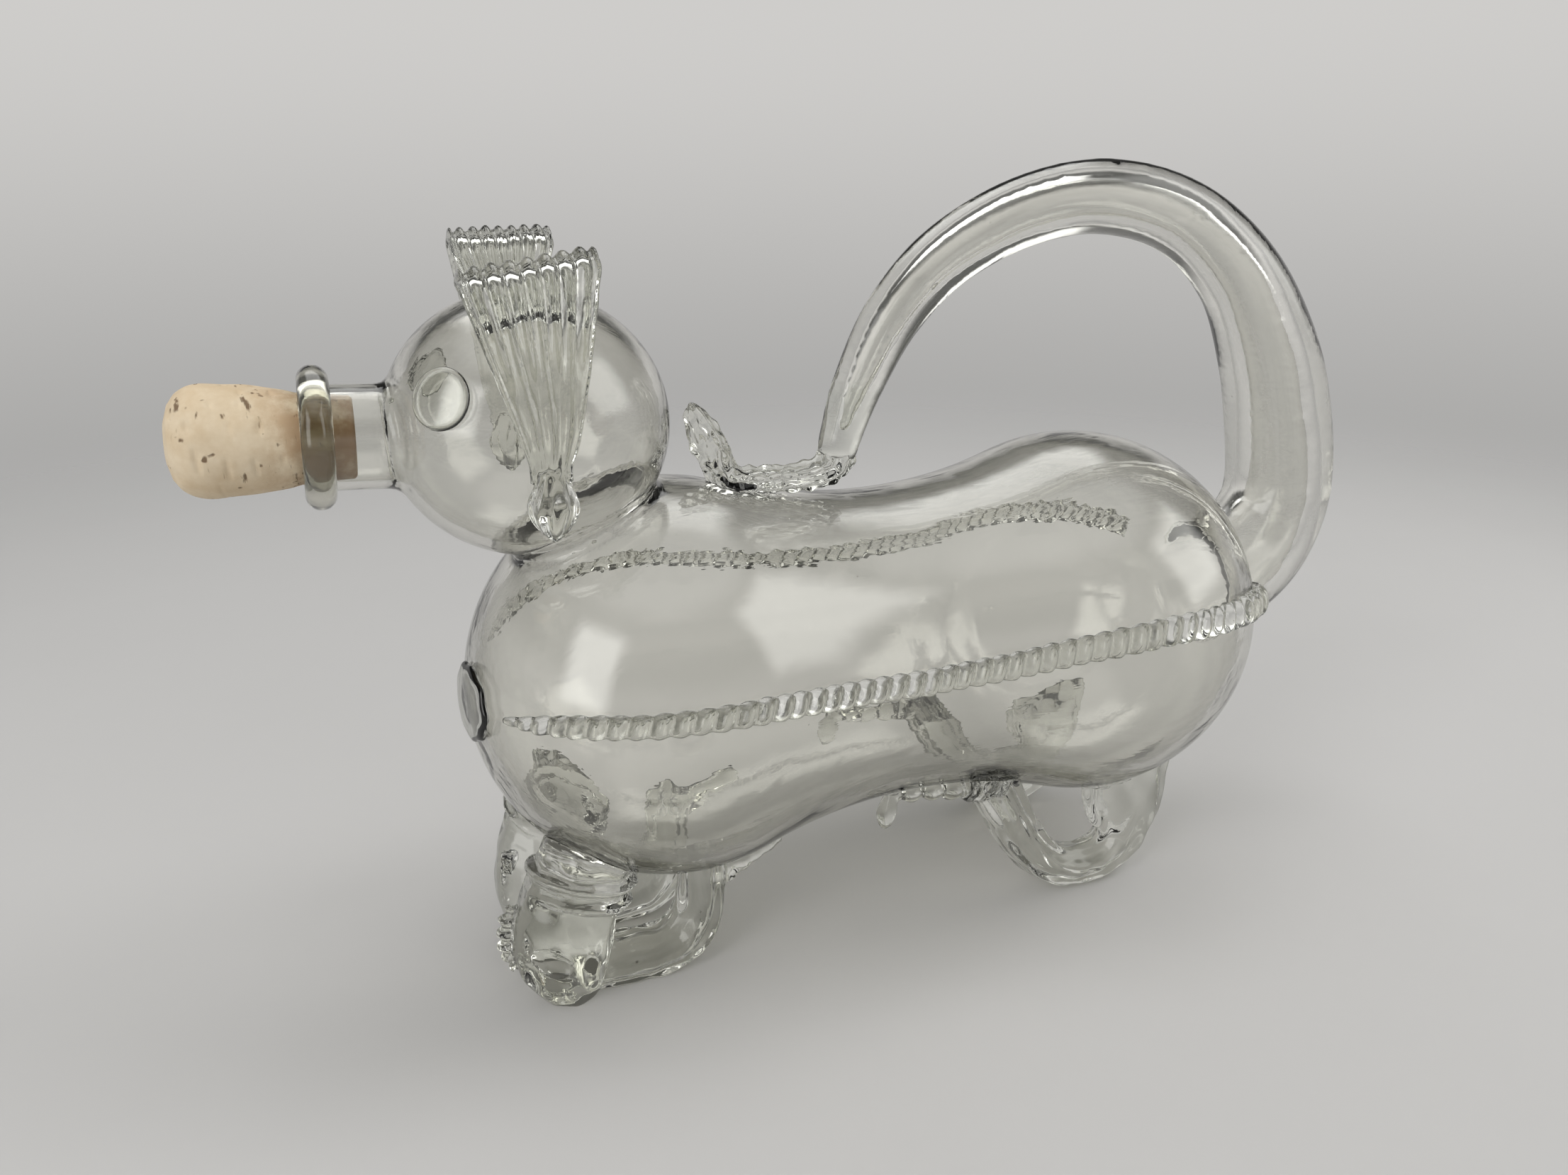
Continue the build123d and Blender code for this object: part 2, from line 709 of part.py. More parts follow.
def rod_route(foot_x, out, length, height, radius, rows):
    """A rod's stations from rows of shares of a leg's length and height and of the rod's own radius."""
    return [
        (foot_x + back * length, out, rise * height, depth * radius, width * radius)
        for back, rise, depth, width in rows
    ]


front_sizes = (front_foot_x, front_leg_out, front_leg_length, front_leg_height)
front_paw_route = rod_route(*front_sizes, paw_radius, paw_station_shares)
front_rod_route = rod_route(*front_sizes, rod_radius, front_rod_station_shares)
front_string_start = front_foot_x + front_leg_length
front_string = string_route(front_string_start, front_leg_out, front_string_length, front_string_radius)
front_routes = [front_paw_route, front_rod_route, front_string]

with BuildPart() as front_left_leg:
    add(leg(-1, 0, 0, front_routes))
front_left_leg.part.label = "front_left_leg"
export_step(front_left_leg.part, "parts/front_left_leg.step")

with BuildPart() as front_right_leg:
    add(leg(1, 0, front_right_lean, front_routes))
front_right_leg.part.label = "front_right_leg"
export_step(front_right_leg.part, "parts/front_right_leg.step")

# Each station: place back from the loop's lowest point, height, half depth and half width of the section
rear_arm_station_shares = [
    (-0.56, 1.12, 1.08, 1.05),
    (-0.42, 0.83, 1.05, 1.0),
    (-0.27, 0.53, 1.0, 1.0),
    (-0.06, 0.27, 0.95, 0.98),
    (0.17, 0.17, 0.94, 0.96),
    (0.4, 0.19, 1.0, 0.94),
    (0.57, 0.33, 1.35, 0.84),
    (0.62, 0.56, 1.95, 0.72),
    (0.6, 0.8, 2.15, 0.68),
    (0.58, 1.12, 2.4, 0.66),
]
rear_sizes = (rear_foot_x, rear_leg_out, rear_leg_length, rear_leg_height)
rear_loop_route = rod_route(*rear_sizes, rear_rod_radius, rear_arm_station_shares)
rear_string_start = rear_foot_x + rear_arm_station_shares[1][0] * rear_leg_length
rear_string = string_route(rear_string_start, rear_leg_out, -rear_string_length, rear_string_radius)
rear_drop_x = rear_string_start - rear_string_length
rear_drop_top = belly_height(rear_drop_x, rear_leg_out)
# Each station: height below the belly and radius of the drop that hangs from the string's end
drop_station_shares = [(-0.2, 0.4), (0.1, 0.55), (0.45, 1.0), (0.75, 0.8), (1.0, 0.25)]
rear_drop = []
for fall_share, size_share in drop_station_shares:
    drop_radius = size_share * rear_drop_radius
    rear_drop.append(
        (rear_drop_x, rear_leg_out, rear_drop_top - fall_share * rear_drop_length, drop_radius, drop_radius)
    )
rear_routes = [rear_loop_route, rear_string, rear_drop]

with BuildPart() as rear_left_leg:
    add(leg(-1, 0, 0, rear_routes))
rear_left_leg.part.label = "rear_left_leg"
export_step(rear_left_leg.part, "parts/rear_left_leg.step")

with BuildPart() as rear_right_leg:
    add(leg(1, rear_right_lag, 0, rear_routes))
rear_right_leg.part.label = "rear_right_leg"
export_step(rear_right_leg.part, "parts/rear_right_leg.step")
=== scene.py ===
import logging
from collections.abc import Callable, Iterable
from dataclasses import dataclass
from enum import Enum
from math import acos, atan2, ceil, cos, hypot, pi, radians, sin, sqrt

import bpy
import numpy as np
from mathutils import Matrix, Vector


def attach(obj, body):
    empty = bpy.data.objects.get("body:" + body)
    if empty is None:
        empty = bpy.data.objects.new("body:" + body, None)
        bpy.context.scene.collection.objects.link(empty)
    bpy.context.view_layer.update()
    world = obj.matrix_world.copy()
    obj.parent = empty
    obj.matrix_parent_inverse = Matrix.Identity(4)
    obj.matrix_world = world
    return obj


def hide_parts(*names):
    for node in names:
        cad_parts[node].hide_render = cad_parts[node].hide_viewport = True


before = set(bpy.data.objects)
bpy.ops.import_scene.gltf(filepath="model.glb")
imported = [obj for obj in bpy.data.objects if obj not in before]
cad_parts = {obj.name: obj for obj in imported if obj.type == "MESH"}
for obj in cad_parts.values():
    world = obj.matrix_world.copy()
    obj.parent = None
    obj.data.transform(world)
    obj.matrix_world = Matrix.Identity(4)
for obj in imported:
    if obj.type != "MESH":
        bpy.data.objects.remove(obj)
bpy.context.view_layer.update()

# Lengths are millimetres where nothing else is said, and a mesh is made in metres
MM = 0.001
# Applied glass lies this far over the glass that carries it, so that no two skins cross
SEAT_GAP = 0.1
# A turned solid is this thin where it meets its axis
POLE_RADIUS = 0.01
# Turn of the grooves in drawn glass from one section to the next
FLUTE_TWIST = 0.05
RELAX_FACTOR = 0.5
TINY = 1e-12
SIDEWAYS = np.array([0.0, 1.0, 0.0])
UPWARDS = np.array([0.0, 0.0, 1.0])
log = logging.getLogger("decanter")

Points = np.ndarray
Faces = list[tuple[int, ...]]
Solid = tuple[Points, Faces]
Row = tuple[float, ...]
Rows = tuple[Row, ...]
Colour = tuple[float, float, float]
Piece = bpy.types.Object
Material = bpy.types.Material
Socket = bpy.types.NodeSocket


class Side(Enum):
    """Which flank of the dog a piece is on, as the sign of Y."""

    LEFT = -1
    RIGHT = 1

    def named(self, piece: str) -> str:
        """The name of a piece on this side."""
        return f"{self.name.lower()}_{piece}"


class Stuff(Enum):
    """What a piece is of: the record's slot and the body that it moves with."""

    GLASS = ("glass", "decanter")
    CORK = ("cork", "cork")


def unit(vector: Points) -> Points:
    """A vector or rows of vectors brought to length one."""
    return vector / np.maximum(np.linalg.norm(vector, axis=-1, keepdims=True), TINY)


def read_table(rows: Rows, place: float) -> float:
    """Reads (place, value) rows at a place, with straight lines between them."""
    return float(np.interp(place, *zip(*rows)))


def clamp(value: float) -> float:
    """A value kept between 0 and 1."""
    return min(max(value, 0), 1)


def direction_of(turn: float, rise: float, side: Side) -> Points:
    """A direction turned from the nose to one side and raised, both in degrees."""
    level = cos(radians(rise))
    return np.array([-level * cos(radians(turn)), side.value * level * sin(radians(turn)), sin(radians(rise))])


def mirrored(vector: Row, side: Side) -> Points:
    """A vector of the +Y side, as it is on a side."""
    return np.array(vector) * np.array([1, side.value, 1])


def smooth_rows(rows: Points, steps: int) -> Points:
    """Runs a smooth curve through rows of numbers.

    Args:
        rows: One row per station, any number of columns.
        steps: How many parts each span is divided into.

    Returns:
        The rows of the curve, the given rows among them.
    """
    padded = np.vstack([2 * rows[0] - rows[1], rows, 2 * rows[-1] - rows[-2]])
    out = []
    for a, b, c, d in zip(padded, padded[1:], padded[2:], padded[3:]):
        square, cube = 2 * a - 5 * b + 4 * c - d, 3 * b - 3 * c + d - a
        for t in np.linspace(0, 1, steps, endpoint=False):
            out.append(0.5 * (2 * b + (c - a) * t + square * t**2 + cube * t**3))
    return np.array([*out, padded[-2]])


def sections(rows: Rows, start: Row, size: Row) -> list[Row]:
    """Turns rows of shares into sections of drawn glass.

    Args:
        rows: Shares of the reach, the rise, the half depth and the half width.
        start: The point that the reach along X and the rise start from.
        size: Reach, rise, half depth and half width.

    Returns:
        The sections, for draw_glass.
    """
    x, y, z = start
    reach, rise, depth, width = size
    return [(x + a * reach, y, z + b * rise, c * depth, d * width) for a, b, c, d in rows]


def half_oval(half_length: float, height: float, count: int, base: float = 0.0) -> list[Row]:
    """A profile of (place along the axis, radius) rows that bulges by height over base."""
    return [(-half_length * cos(t), base + height * sin(t)) for t in np.linspace(0, pi, count)]


def circle_about(axis: Points, count: int) -> Points:
    """The points of a circle of radius one, square to an axis that is not along Y.

    Args:
        axis: The direction that the circle is square to.
        count: How many points the circle has.

    Returns:
        The points, with the origin in their middle.
    """
    across = unit(np.cross(axis, SIDEWAYS))
    turn = np.linspace(0, 2 * pi, count, endpoint=False)
    return np.outer(np.cos(turn), across) + np.outer(np.sin(turn), np.cross(axis, across))


def band(low: int, high: int, count: int) -> Faces:
    """The faces between two rings of count points, which start at low and high."""
    return [(low + k, low + (k + 1) % count, high + (k + 1) % count, high + k) for k in range(count)]


def skin_rings(rings: list[Points]) -> Solid:
    """Closes a row of rings into a solid, with a fan at each end.

    Args:
        rings: Rings of equal point count, in order along the solid.

    Returns:
        The solid's points and faces.
    """
    count = len(rings[0])
    points = np.vstack([*rings, rings[0].mean(0), rings[-1].mean(0)])
    faces: Faces = []
    for row in range(len(rings) - 1):
        faces += band(row * count, (row + 1) * count, count)
    first, base = len(points) - 2, (len(rings) - 1) * count
    for k in range(count):
        after = (k + 1) % count
        faces += [(first, after, k), (first + 1, base + k, base + after)]
    return points, faces


def lathe(profile: Iterable[Row], origin: Points, axis: Points, segments: int = 96) -> Solid:
    """Turns a profile about an axis.

    Args:
        profile: (place along the axis, radius) from one end to the other.
        origin: The point that places along the axis are counted from.
        axis: The direction of the axis, not along Y.
        segments: How many parts the turn is divided into.

    Returns:
        The turned solid.
    """
    axis = unit(np.array(axis, float))
    circle = circle_about(axis, segments)
    return skin_rings([origin + axis * along + circle * max(radius, POLE_RADIUS) for along, radius in profile])


def draw_glass(stations: list[Row] | Points, steps: int, segments: int, flutes: int = 0, depth: float = 0.0) -> Solid:
    """Draws glass through oval sections.

    Args:
        stations: (x, y, z, half depth, half width) of each section along the route.
        steps: How many parts each span is divided into.
        segments: How many points each section has.
        flutes: How many grooves run along it.
        depth: Depth of the grooves as a share of the radius.

    Returns:
        The drawn solid.
    """
    rows = smooth_rows(np.array(stations, float), steps)
    heading = unit(np.gradient(rows[:, :3], axis=0))
    turn = np.linspace(0, 2 * pi, segments, endpoint=False)
    rings = []
    for index, (row, direction) in enumerate(zip(rows, heading)):
        side = unit(SIDEWAYS - direction * (SIDEWAYS @ direction))
        groove = 1 - depth * (0.5 - 0.5 * np.cos(flutes * turn + FLUTE_TWIST * index))
        wide = np.outer(np.cos(turn) * row[4] * groove, side)
        deep = np.outer(np.sin(turn) * row[3] * groove, np.cross(direction, side))
        rings.append(row[:3] + wide + deep)
    return skin_rings(rings)


def make_object(name: str, solid: Solid) -> Piece:
    """Makes a smooth-shaded object, linked to the scene, from a solid in millimetres.

    Args:
        name: Name of the object.
        solid: Points in millimetres and faces.

    Returns:
        The object.
    """
    points, faces = solid
    mesh = bpy.data.meshes.new(name)
    mesh.from_pydata((np.asarray(points) * MM).tolist(), [], faces)
    mesh.validate()
    mesh.shade_smooth()
    made = bpy.data.objects.new(name, mesh)
    bpy.context.scene.collection.objects.link(made)
    return made


def bake_modifiers(piece: Piece) -> None:
    """Applies a piece's modifiers to its mesh.

    Args:
        piece: The object that is changed.
    """
    graph = bpy.context.evaluated_depsgraph_get()
    graph.update()
    mesh = bpy.data.meshes.new_from_object(piece.evaluated_get(graph), depsgraph=graph)
    old = piece.data
    piece.modifiers.clear()
    piece.data = mesh
    bpy.data.meshes.remove(old)
    mesh.name = piece.name
    mesh.shade_smooth()


def fuse(name: str, solids: list[Solid], grain: float, smoothing: int) -> Piece:
    """Melts overlapping solids into one skin.

    Args:
        name: The piece's name.
        solids: Closed solids that overlap.
        grain: Size of the skin's mesh.
        smoothing: How many times the skin is relaxed.

    Returns:
        The melted piece.
    """
    points, faces, base = [], [], 0
    for part_points, part_faces in solids:
        points.append(part_points)
        faces.extend(tuple(index + base for index in face) for face in part_faces)
        base += len(part_points)
    piece = make_object(name, (np.vstack(points), faces))
    remesh = piece.modifiers.new("Melt", "REMESH")
    remesh.mode = "VOXEL"
    remesh.voxel_size = grain * MM
    relax = piece.modifiers.new("Relax", "SMOOTH")
    relax.factor = RELAX_FACTOR
    relax.iterations = smoothing
    bake_modifiers(piece)
    return piece


def combine(piece: Piece, tool: Piece, operation: str) -> None:
    """Cuts a piece with another one, or joins that one to it, and removes the other.

    Args:
        piece: The piece that is changed.
        tool: The piece that it is combined with.
        operation: Blender's name of the operation.
    """
    change = piece.modifiers.new("Combine", "BOOLEAN")
    change.operation = operation
    change.solver = "EXACT"
    change.object = tool
    bake_modifiers(piece)
    bpy.data.objects.remove(tool)


def cut(piece: Piece, solid: Solid) -> None:
    """Takes a solid away from a piece."""
    combine(piece, make_object("room", solid), "DIFFERENCE")


def read_points(piece: Piece) -> Points:
    """A piece's mesh points in millimetres.

    Args:
        piece: The object that is read.

    Returns:
        One row per point.
    """
    flat = np.zeros(len(piece.data.vertices) * 3, np.float64)
    piece.data.vertices.foreach_get("co", flat)
    return flat.reshape(-1, 3) / MM


def write_points(piece: Piece, points: Points) -> None:
    """Puts a piece's mesh points at new places, given in millimetres."""
    piece.data.vertices.foreach_set("co", (points * MM).ravel())
    piece.data.update()


def turn_outwards(piece: Piece) -> None:
    """Turns a closed piece's faces outwards.

    Args:
        piece: The object that is changed.
    """
    mesh = piece.data
    mesh.calc_loop_triangles()
    corners = np.zeros(len(mesh.loop_triangles) * 3, np.int64)
    mesh.loop_triangles.foreach_get("vertices", corners)
    a, b, c = read_points(piece)[corners.reshape(-1, 3)].transpose(1, 0, 2)
    if np.sum(a * np.cross(b, c)) < 0:
        mesh.flip_normals()


def wander(points: Points, wavelength: float, seed: int) -> Points:
    """A slow wander of values between about -1 and 1 over space.

    Args:
        points: Places in millimetres.
        wavelength: Distance between crests.
        seed: Chooses the pattern.

    Returns:
        One value per place.
    """
    dice = np.random.default_rng(seed)
    value = np.zeros(len(points))
    waves = 7
    for _ in range(waves):
        way = unit(dice.normal(size=3))
        pace = 2 * pi / (wavelength * dice.uniform(0.7, 1.5))
        value += np.sin(points @ way * pace + dice.uniform(0, 2 * pi))
    return value / sqrt(waves)


def ripple(piece: Piece, wavelength: float, height: float, seed: int) -> None:
    """Moves a piece's skin in and out a little, as fire-worked glass is.

    Args:
        piece: The object that is changed.
        wavelength: Usual length of a wave.
        height: Height of a wave.
        seed: Seed of the waves.
    """
    points = read_points(piece)
    flat = np.zeros(len(points) * 3)
    piece.data.vertex_normals.foreach_get("vector", flat)
    write_points(piece, points + flat.reshape(-1, 3) * (wander(points, wavelength, seed) * height)[:, None])


def dress(piece: Piece, material: Material, nodes: tuple[str, ...], stuff: Stuff = Stuff.GLASS) -> None:
    """Gives a piece its finish and body, and names the CAD nodes that it stands for.

    Args:
        piece: The object that is dressed.
        material: Its finish.
        nodes: Names of the CAD nodes that it stands for.
        stuff: What it is of.
    """
    slot, body = stuff.value
    piece.data.materials.clear()
    piece.data.materials.append(material)
    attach(piece, body)
    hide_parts(*nodes)
    log.info("%s: %d faces for %s", piece.name, len(piece.data.polygons), ", ".join(nodes))


@dataclass(frozen=True)
class BodyForm:
    """The body's two bulbs and waist, and what stands on them."""

    chest_x: float = -43.7
    chest_radius: float = 42.2
    rump_x: float = 56.8
    rump_radius: float = 43.2
    waist_arc_radius: float = 121.0
    axis_height: float = 63.7
    wall: float = 2.4
    tail_landing_x: float = -5.5

    @property
    def chest(self) -> Points:
        """The chest bulb's centre."""
        return np.array([self.chest_x, 0.0, self.axis_height])

    @property
    def waist(self) -> tuple[float, float]:
        """Place along the body and height above its axis of the waist arc's centre.

        Returns:
            The place and the height.
        """
        to_chest = self.chest_radius + self.waist_arc_radius
        to_rump = self.rump_radius + self.waist_arc_radius
        span = self.rump_x - self.chest_x
        x = self.chest_x + (to_chest**2 - to_rump**2 + span**2) / (2 * span)
        return x, sqrt(to_chest**2 - (x - self.chest_x) ** 2)

    def over(self, x: float, lift: float) -> tuple[float, float]:
        """A point above the outline.

        Args:
            x: Place along the body's axis of the point's foot.
            lift: Distance square to the surface.

        Returns:
            Place along the axis and distance from it.
        """
        waist_x, rise = self.waist
        arc = self.waist_arc_radius
        bulbs = ((self.chest_x, self.chest_radius), (self.rump_x, self.rump_radius))
        front, rear = (centre + (waist_x - centre) * radius / (radius + arc) for centre, radius in bulbs)
        if front <= x <= rear:
            scale = (arc - lift) / arc
            return waist_x + (x - waist_x) * scale, rise - scale * sqrt(arc**2 - (x - waist_x) ** 2)
        centre, radius = bulbs[0] if x < front else bulbs[1]
        scale = (radius + lift) / radius
        return centre + (x - centre) * scale, sqrt(max(radius**2 - (x - centre) ** 2, 0)) * scale

    def outline(self, lift: float, steps: int = 160) -> list[Row]:
        """The outline from front pole to rear pole, with its points closer together near the poles.

        Args:
            lift: How far over the surface the outline runs.
            steps: How many points it has.

        Returns:
            Rows of place and radius.
        """
        low, high = self.chest_x - self.chest_radius, self.rump_x + self.rump_radius
        places = (low + high) / 2 - (high - low) / 2 * np.cos(np.linspace(0, pi, steps))
        return [self.over(float(x), lift) for x in places]

    def place(self, x: float, rise: float, side: Side) -> Points:
        """The point on one flank at a place along the axis and an angle in degrees above its level.

        Args:
            x: Place along the axis.
            rise: Angle above the axis's level.
            side: Which flank.

        Returns:
            The point.
        """
        along, out = self.over(x, 0)
        turn = radians(rise)
        return np.array([along, side.value * out * cos(turn), self.axis_height + out * sin(turn)])

    def belly(self, x: float, out: float) -> float:
        """Height of the underside at a place along the body and out from its middle."""
        return self.axis_height - sqrt(self.over(x, 0)[1] ** 2 - out**2)

    def seat(self, points: Points, lift: float) -> Points:
        """Moves points to a lift over the surface, straight out from the axis.

        Args:
            points: Places in millimetres.
            lift: Height over the surface.

        Returns:
            The moved points.
        """
        table = np.array(self.outline(lift, 400))
        radii = np.interp(points[:, 0], table[:, 0], table[:, 1], left=0.0, right=0.0)
        middle = np.array([0.0, self.axis_height])
        moved = points.copy()
        moved[:, 1:] = unit(points[:, 1:] - middle) * radii[:, None] + middle
        return moved

    def seat_on_chest(self, points: Points, lift: float) -> Points:
        """Moves points to a lift over the chest's bulb, straight out from its centre."""
        return self.chest + unit(points - self.chest) * (self.chest_radius + lift)

    def solid(self, lift: float) -> Solid:
        """The body as a solid, moved out by lift."""
        return lathe(self.outline(lift), UPWARDS * self.axis_height, np.array([1.0, 0.0, 0.0]), 160)


@dataclass(frozen=True)
class HeadForm:
    """The head's bulb and the snout's axis."""

    x: float = -69.2
    height: float = 119.6
    half_length: float = 26.9
    radius: float = 25.2
    wall: float = 2.0
    nose_tilt: float = 3.0
    ring_x: float = -107.0
    ring_height: float = 119.9
    neck_radius: float = 9.6

    @property
    def centre(self) -> Points:
        """The bulb's centre."""
        return np.array([self.x, 0.0, self.height])

    @property
    def ring(self) -> Points:
        """Centre of the ring round the mouth."""
        return np.array([self.ring_x, 0.0, self.ring_height])

    @property
    def nose(self) -> Points:
        """The direction that the snout points in."""
        return np.array([-cos(radians(self.nose_tilt)), 0.0, sin(radians(self.nose_tilt))])

    def bulb(self, lift: float) -> Solid:
        """The bulb as a solid, moved out by lift."""
        return lathe(half_oval(self.half_length + lift, self.radius + lift, 96), self.centre, self.nose, 128)

    def seat(self, points: Points, lift: float) -> Points:
        """Moves points to a lift over the surface, straight out from the bulb's centre.

        Args:
            points: The points, one per row.
            lift: How far over the surface they go.

        Returns:
            The moved points.
        """
        offset = points - self.centre
        along = offset @ self.nose
        aside = np.linalg.norm(offset - np.outer(along, self.nose), axis=1)
        depth = np.sqrt((along / (self.half_length + lift)) ** 2 + (aside / (self.radius + lift)) ** 2)
        return self.centre + offset / np.maximum(depth, TINY)[:, None]

    def surface(self, direction: Points) -> tuple[Points, Points]:
        """The surface point, and the normal there, in a direction of length one from the centre.

        Args:
            direction: The direction, of length one.

        Returns:
            The surface point and the normal.
        """
        along = float(direction @ self.nose)
        aside = direction - self.nose * along
        reach = 1 / sqrt((along / self.half_length) ** 2 + (np.linalg.norm(aside) / self.radius) ** 2)
        normal = self.nose * (along / self.half_length**2) + aside / self.radius**2
        return self.centre + direction * reach, unit(normal)


BODY = BodyForm()
HEAD = HeadForm()


@dataclass(frozen=True)
class Link:
    """Makes and joins the nodes of one material, world or group."""

    tree: bpy.types.NodeTree

    def give(self, socket: Socket, value: object) -> None:
        """Joins another socket to an input, or gives the input its number or colour.

        Args:
            socket: The input.
            value: A socket, a number or a colour.
        """
        if isinstance(value, Socket):
            self.tree.links.new(value, socket)
        else:
            socket.default_value = (*value, 1.0) if socket.type == "RGBA" else value

    def node(self, kind: str, **values: object) -> bpy.types.Node:
        """Makes a node.

        Args:
            kind: Blender's name of the node, without ShaderNode.
            values: Its properties and inputs, with _ for a space in an input's name.

        Returns:
            The node.
        """
        made = self.tree.nodes.new("ShaderNode" + kind)
        for key, value in values.items():
            if hasattr(made, key):
                setattr(made, key, value)
            else:
                self.give(made.inputs[key.replace("_", " ")], value)
        return made

    def fill(self, sockets: Iterable[Socket], *values: object) -> None:
        """Gives values to inputs in order."""
        for socket, value in zip(sockets, values):
            self.give(socket, value)

    def maths(self, operation: str, first: object, second: object = 0.0, clamp: bool = False) -> Socket:
        """A Math node over two sockets or numbers, its result kept between 0 and 1 if clamp is set.

        Args:
            operation: Blender's name of the operation.
            first: The first socket or number.
            second: The second socket or number.
            clamp: Whether the result is kept between 0 and 1.

        Returns:
            The result.
        """
        made = self.node("Math", operation=operation, use_clamp=clamp)
        self.fill(made.inputs, first, second)
        return made.outputs[0]

    def times(self, first: object, second: object) -> Socket:
        """The product of two sockets or numbers."""
        return self.maths("MULTIPLY", first, second)

    def blend(self, share: object, first: object, second: object) -> Socket:
        """A colour mix of two sockets or colours by a share.

        Args:
            share: How much of the second shows.
            first: The first socket or colour.
            second: The second socket or colour.

        Returns:
            The mixed colour.
        """
        made = self.node("Mix", data_type="RGBA")
        colours = [socket for socket in made.inputs if socket.type == "RGBA"]
        self.fill((made.inputs["Factor"], *colours), share, first, second)
        return next(socket for socket in made.outputs if socket.type == "RGBA")

    def ramp(self, share: Socket, low: float, high: float) -> Socket:
        """A smooth step of a value between two limits."""
        made = self.node("MapRange", interpolation_type="SMOOTHSTEP", Value=share, From_Min=low, From_Max=high)
        return made.outputs["Result"]

    def noise(self, place: Socket, scale: object, detail: float, rough: float, distortion: float = 0.0) -> Socket:
        """The value of a noise texture at a place."""
        values = {"Vector": place, "Scale": scale, "Detail": detail, "Roughness": rough, "Distortion": distortion}
        return self.node("TexNoise", **values).outputs["Fac"]

    def dot(self, direction: Socket, axis: Points) -> Socket:
        """How far a direction goes along an axis.

        Args:
            direction: Socket of the direction.
            axis: The axis, of length one.

        Returns:
            The length along the axis.
        """
        product = self.node("VectorMath", operation="DOT_PRODUCT", Vector=direction)
        product.inputs[1].default_value = tuple(axis)
        return product.outputs["Value"]

    def mix(self, share: Socket, first: bpy.types.Node, second: bpy.types.Node) -> bpy.types.Node:
        """A mix of two shader nodes by a share.

        Args:
            share: How much of the second shows.
            first: The first shader node.
            second: The second shader node.

        Returns:
            The node that mixes them.
        """
        made = self.node("MixShader")
        self.fill(made.inputs, share, first.outputs[0], second.outputs[0])
        return made


def new_tree(owner: Material | bpy.types.World) -> Link:
    """Empties the nodes of a material or world for new ones.

    Args:
        owner: The material or world.

    Returns:
        A link for its new nodes.
    """
    owner.use_nodes = True
    owner.node_tree.nodes.clear()
    return Link(owner.node_tree)


def new_material(name: str) -> tuple[Material, Link]:
    """A new material, and the maker of its nodes."""
    material = bpy.data.materials.new(name)
    return material, new_tree(material)


@dataclass(frozen=True)
class BlownSkin:
    """The slow waves, fine cords and seeds of hand-worked glass, as a node group."""

    name: str = "BlownSkin"
    # Each pair: detail and roughness of a noise
    wave_detail: Row = (2.0, 0.45)
    cord_detail: Row = (3.0, 0.5)
    cord_stretch: Row = (0.25, 1.0, 1.0)
    cord_distortion: float = 0.6
    haze: Row = (0.35, 0.75)
    seed_scale: float = 170.0
    seed_radius: float = 0.045
    seed_threshold: float = 0.62

    def group(self) -> bpy.types.NodeTree:
        """Makes the group, or finds it made.

        Returns:
            The group, with the outputs Normal, Roughness and Seeds.
        """
        if self.name in bpy.data.node_groups:
            return bpy.data.node_groups[self.name]
        group = bpy.data.node_groups.new(self.name, "ShaderNodeTree")
        ways = {"INPUT": ("Wave Size", "Wave Height", "Cord Size", "Cord Height", "Polish")}
        ways["OUTPUT"] = ("Normal", "Roughness", "Seeds")
        for way, titles in ways.items():
            for title in titles:
                kind = "NodeSocketVector" if title == "Normal" else "NodeSocketFloat"
                group.interface.new_socket(name=title, in_out=way, socket_type=kind)
        link = Link(group)
        start = group.nodes.new("NodeGroupInput").outputs
        end = group.nodes.new("NodeGroupOutput").inputs
        place = link.node("TexCoord").outputs["Object"]
        wave = link.noise(place, start["Wave Size"], *self.wave_detail)
        stretch = link.node("Mapping", Scale=self.cord_stretch, Vector=place).outputs["Vector"]
        cord = link.noise(stretch, start["Cord Size"], *self.cord_detail, self.cord_distortion)
        waves = link.times(wave, start["Wave Height"])
        cords = link.times(cord, start["Cord Height"])
        bump = link.node("Bump", Strength=1.0, Distance=MM, Height=link.maths("ADD", waves, cords))
        link.give(end["Normal"], bump.outputs["Normal"])
        link.give(end["Roughness"], link.times(link.ramp(wave, *self.haze), start["Polish"]))
        bubbles = link.node("TexVoronoi", Scale=self.seed_scale, Vector=place)
        near = link.maths("LESS_THAN", bubbles.outputs["Distance"], self.seed_radius)
        rare = link.maths("GREATER_THAN", wave, self.seed_threshold)
        link.give(end["Seeds"], link.times(near, rare))
        return group


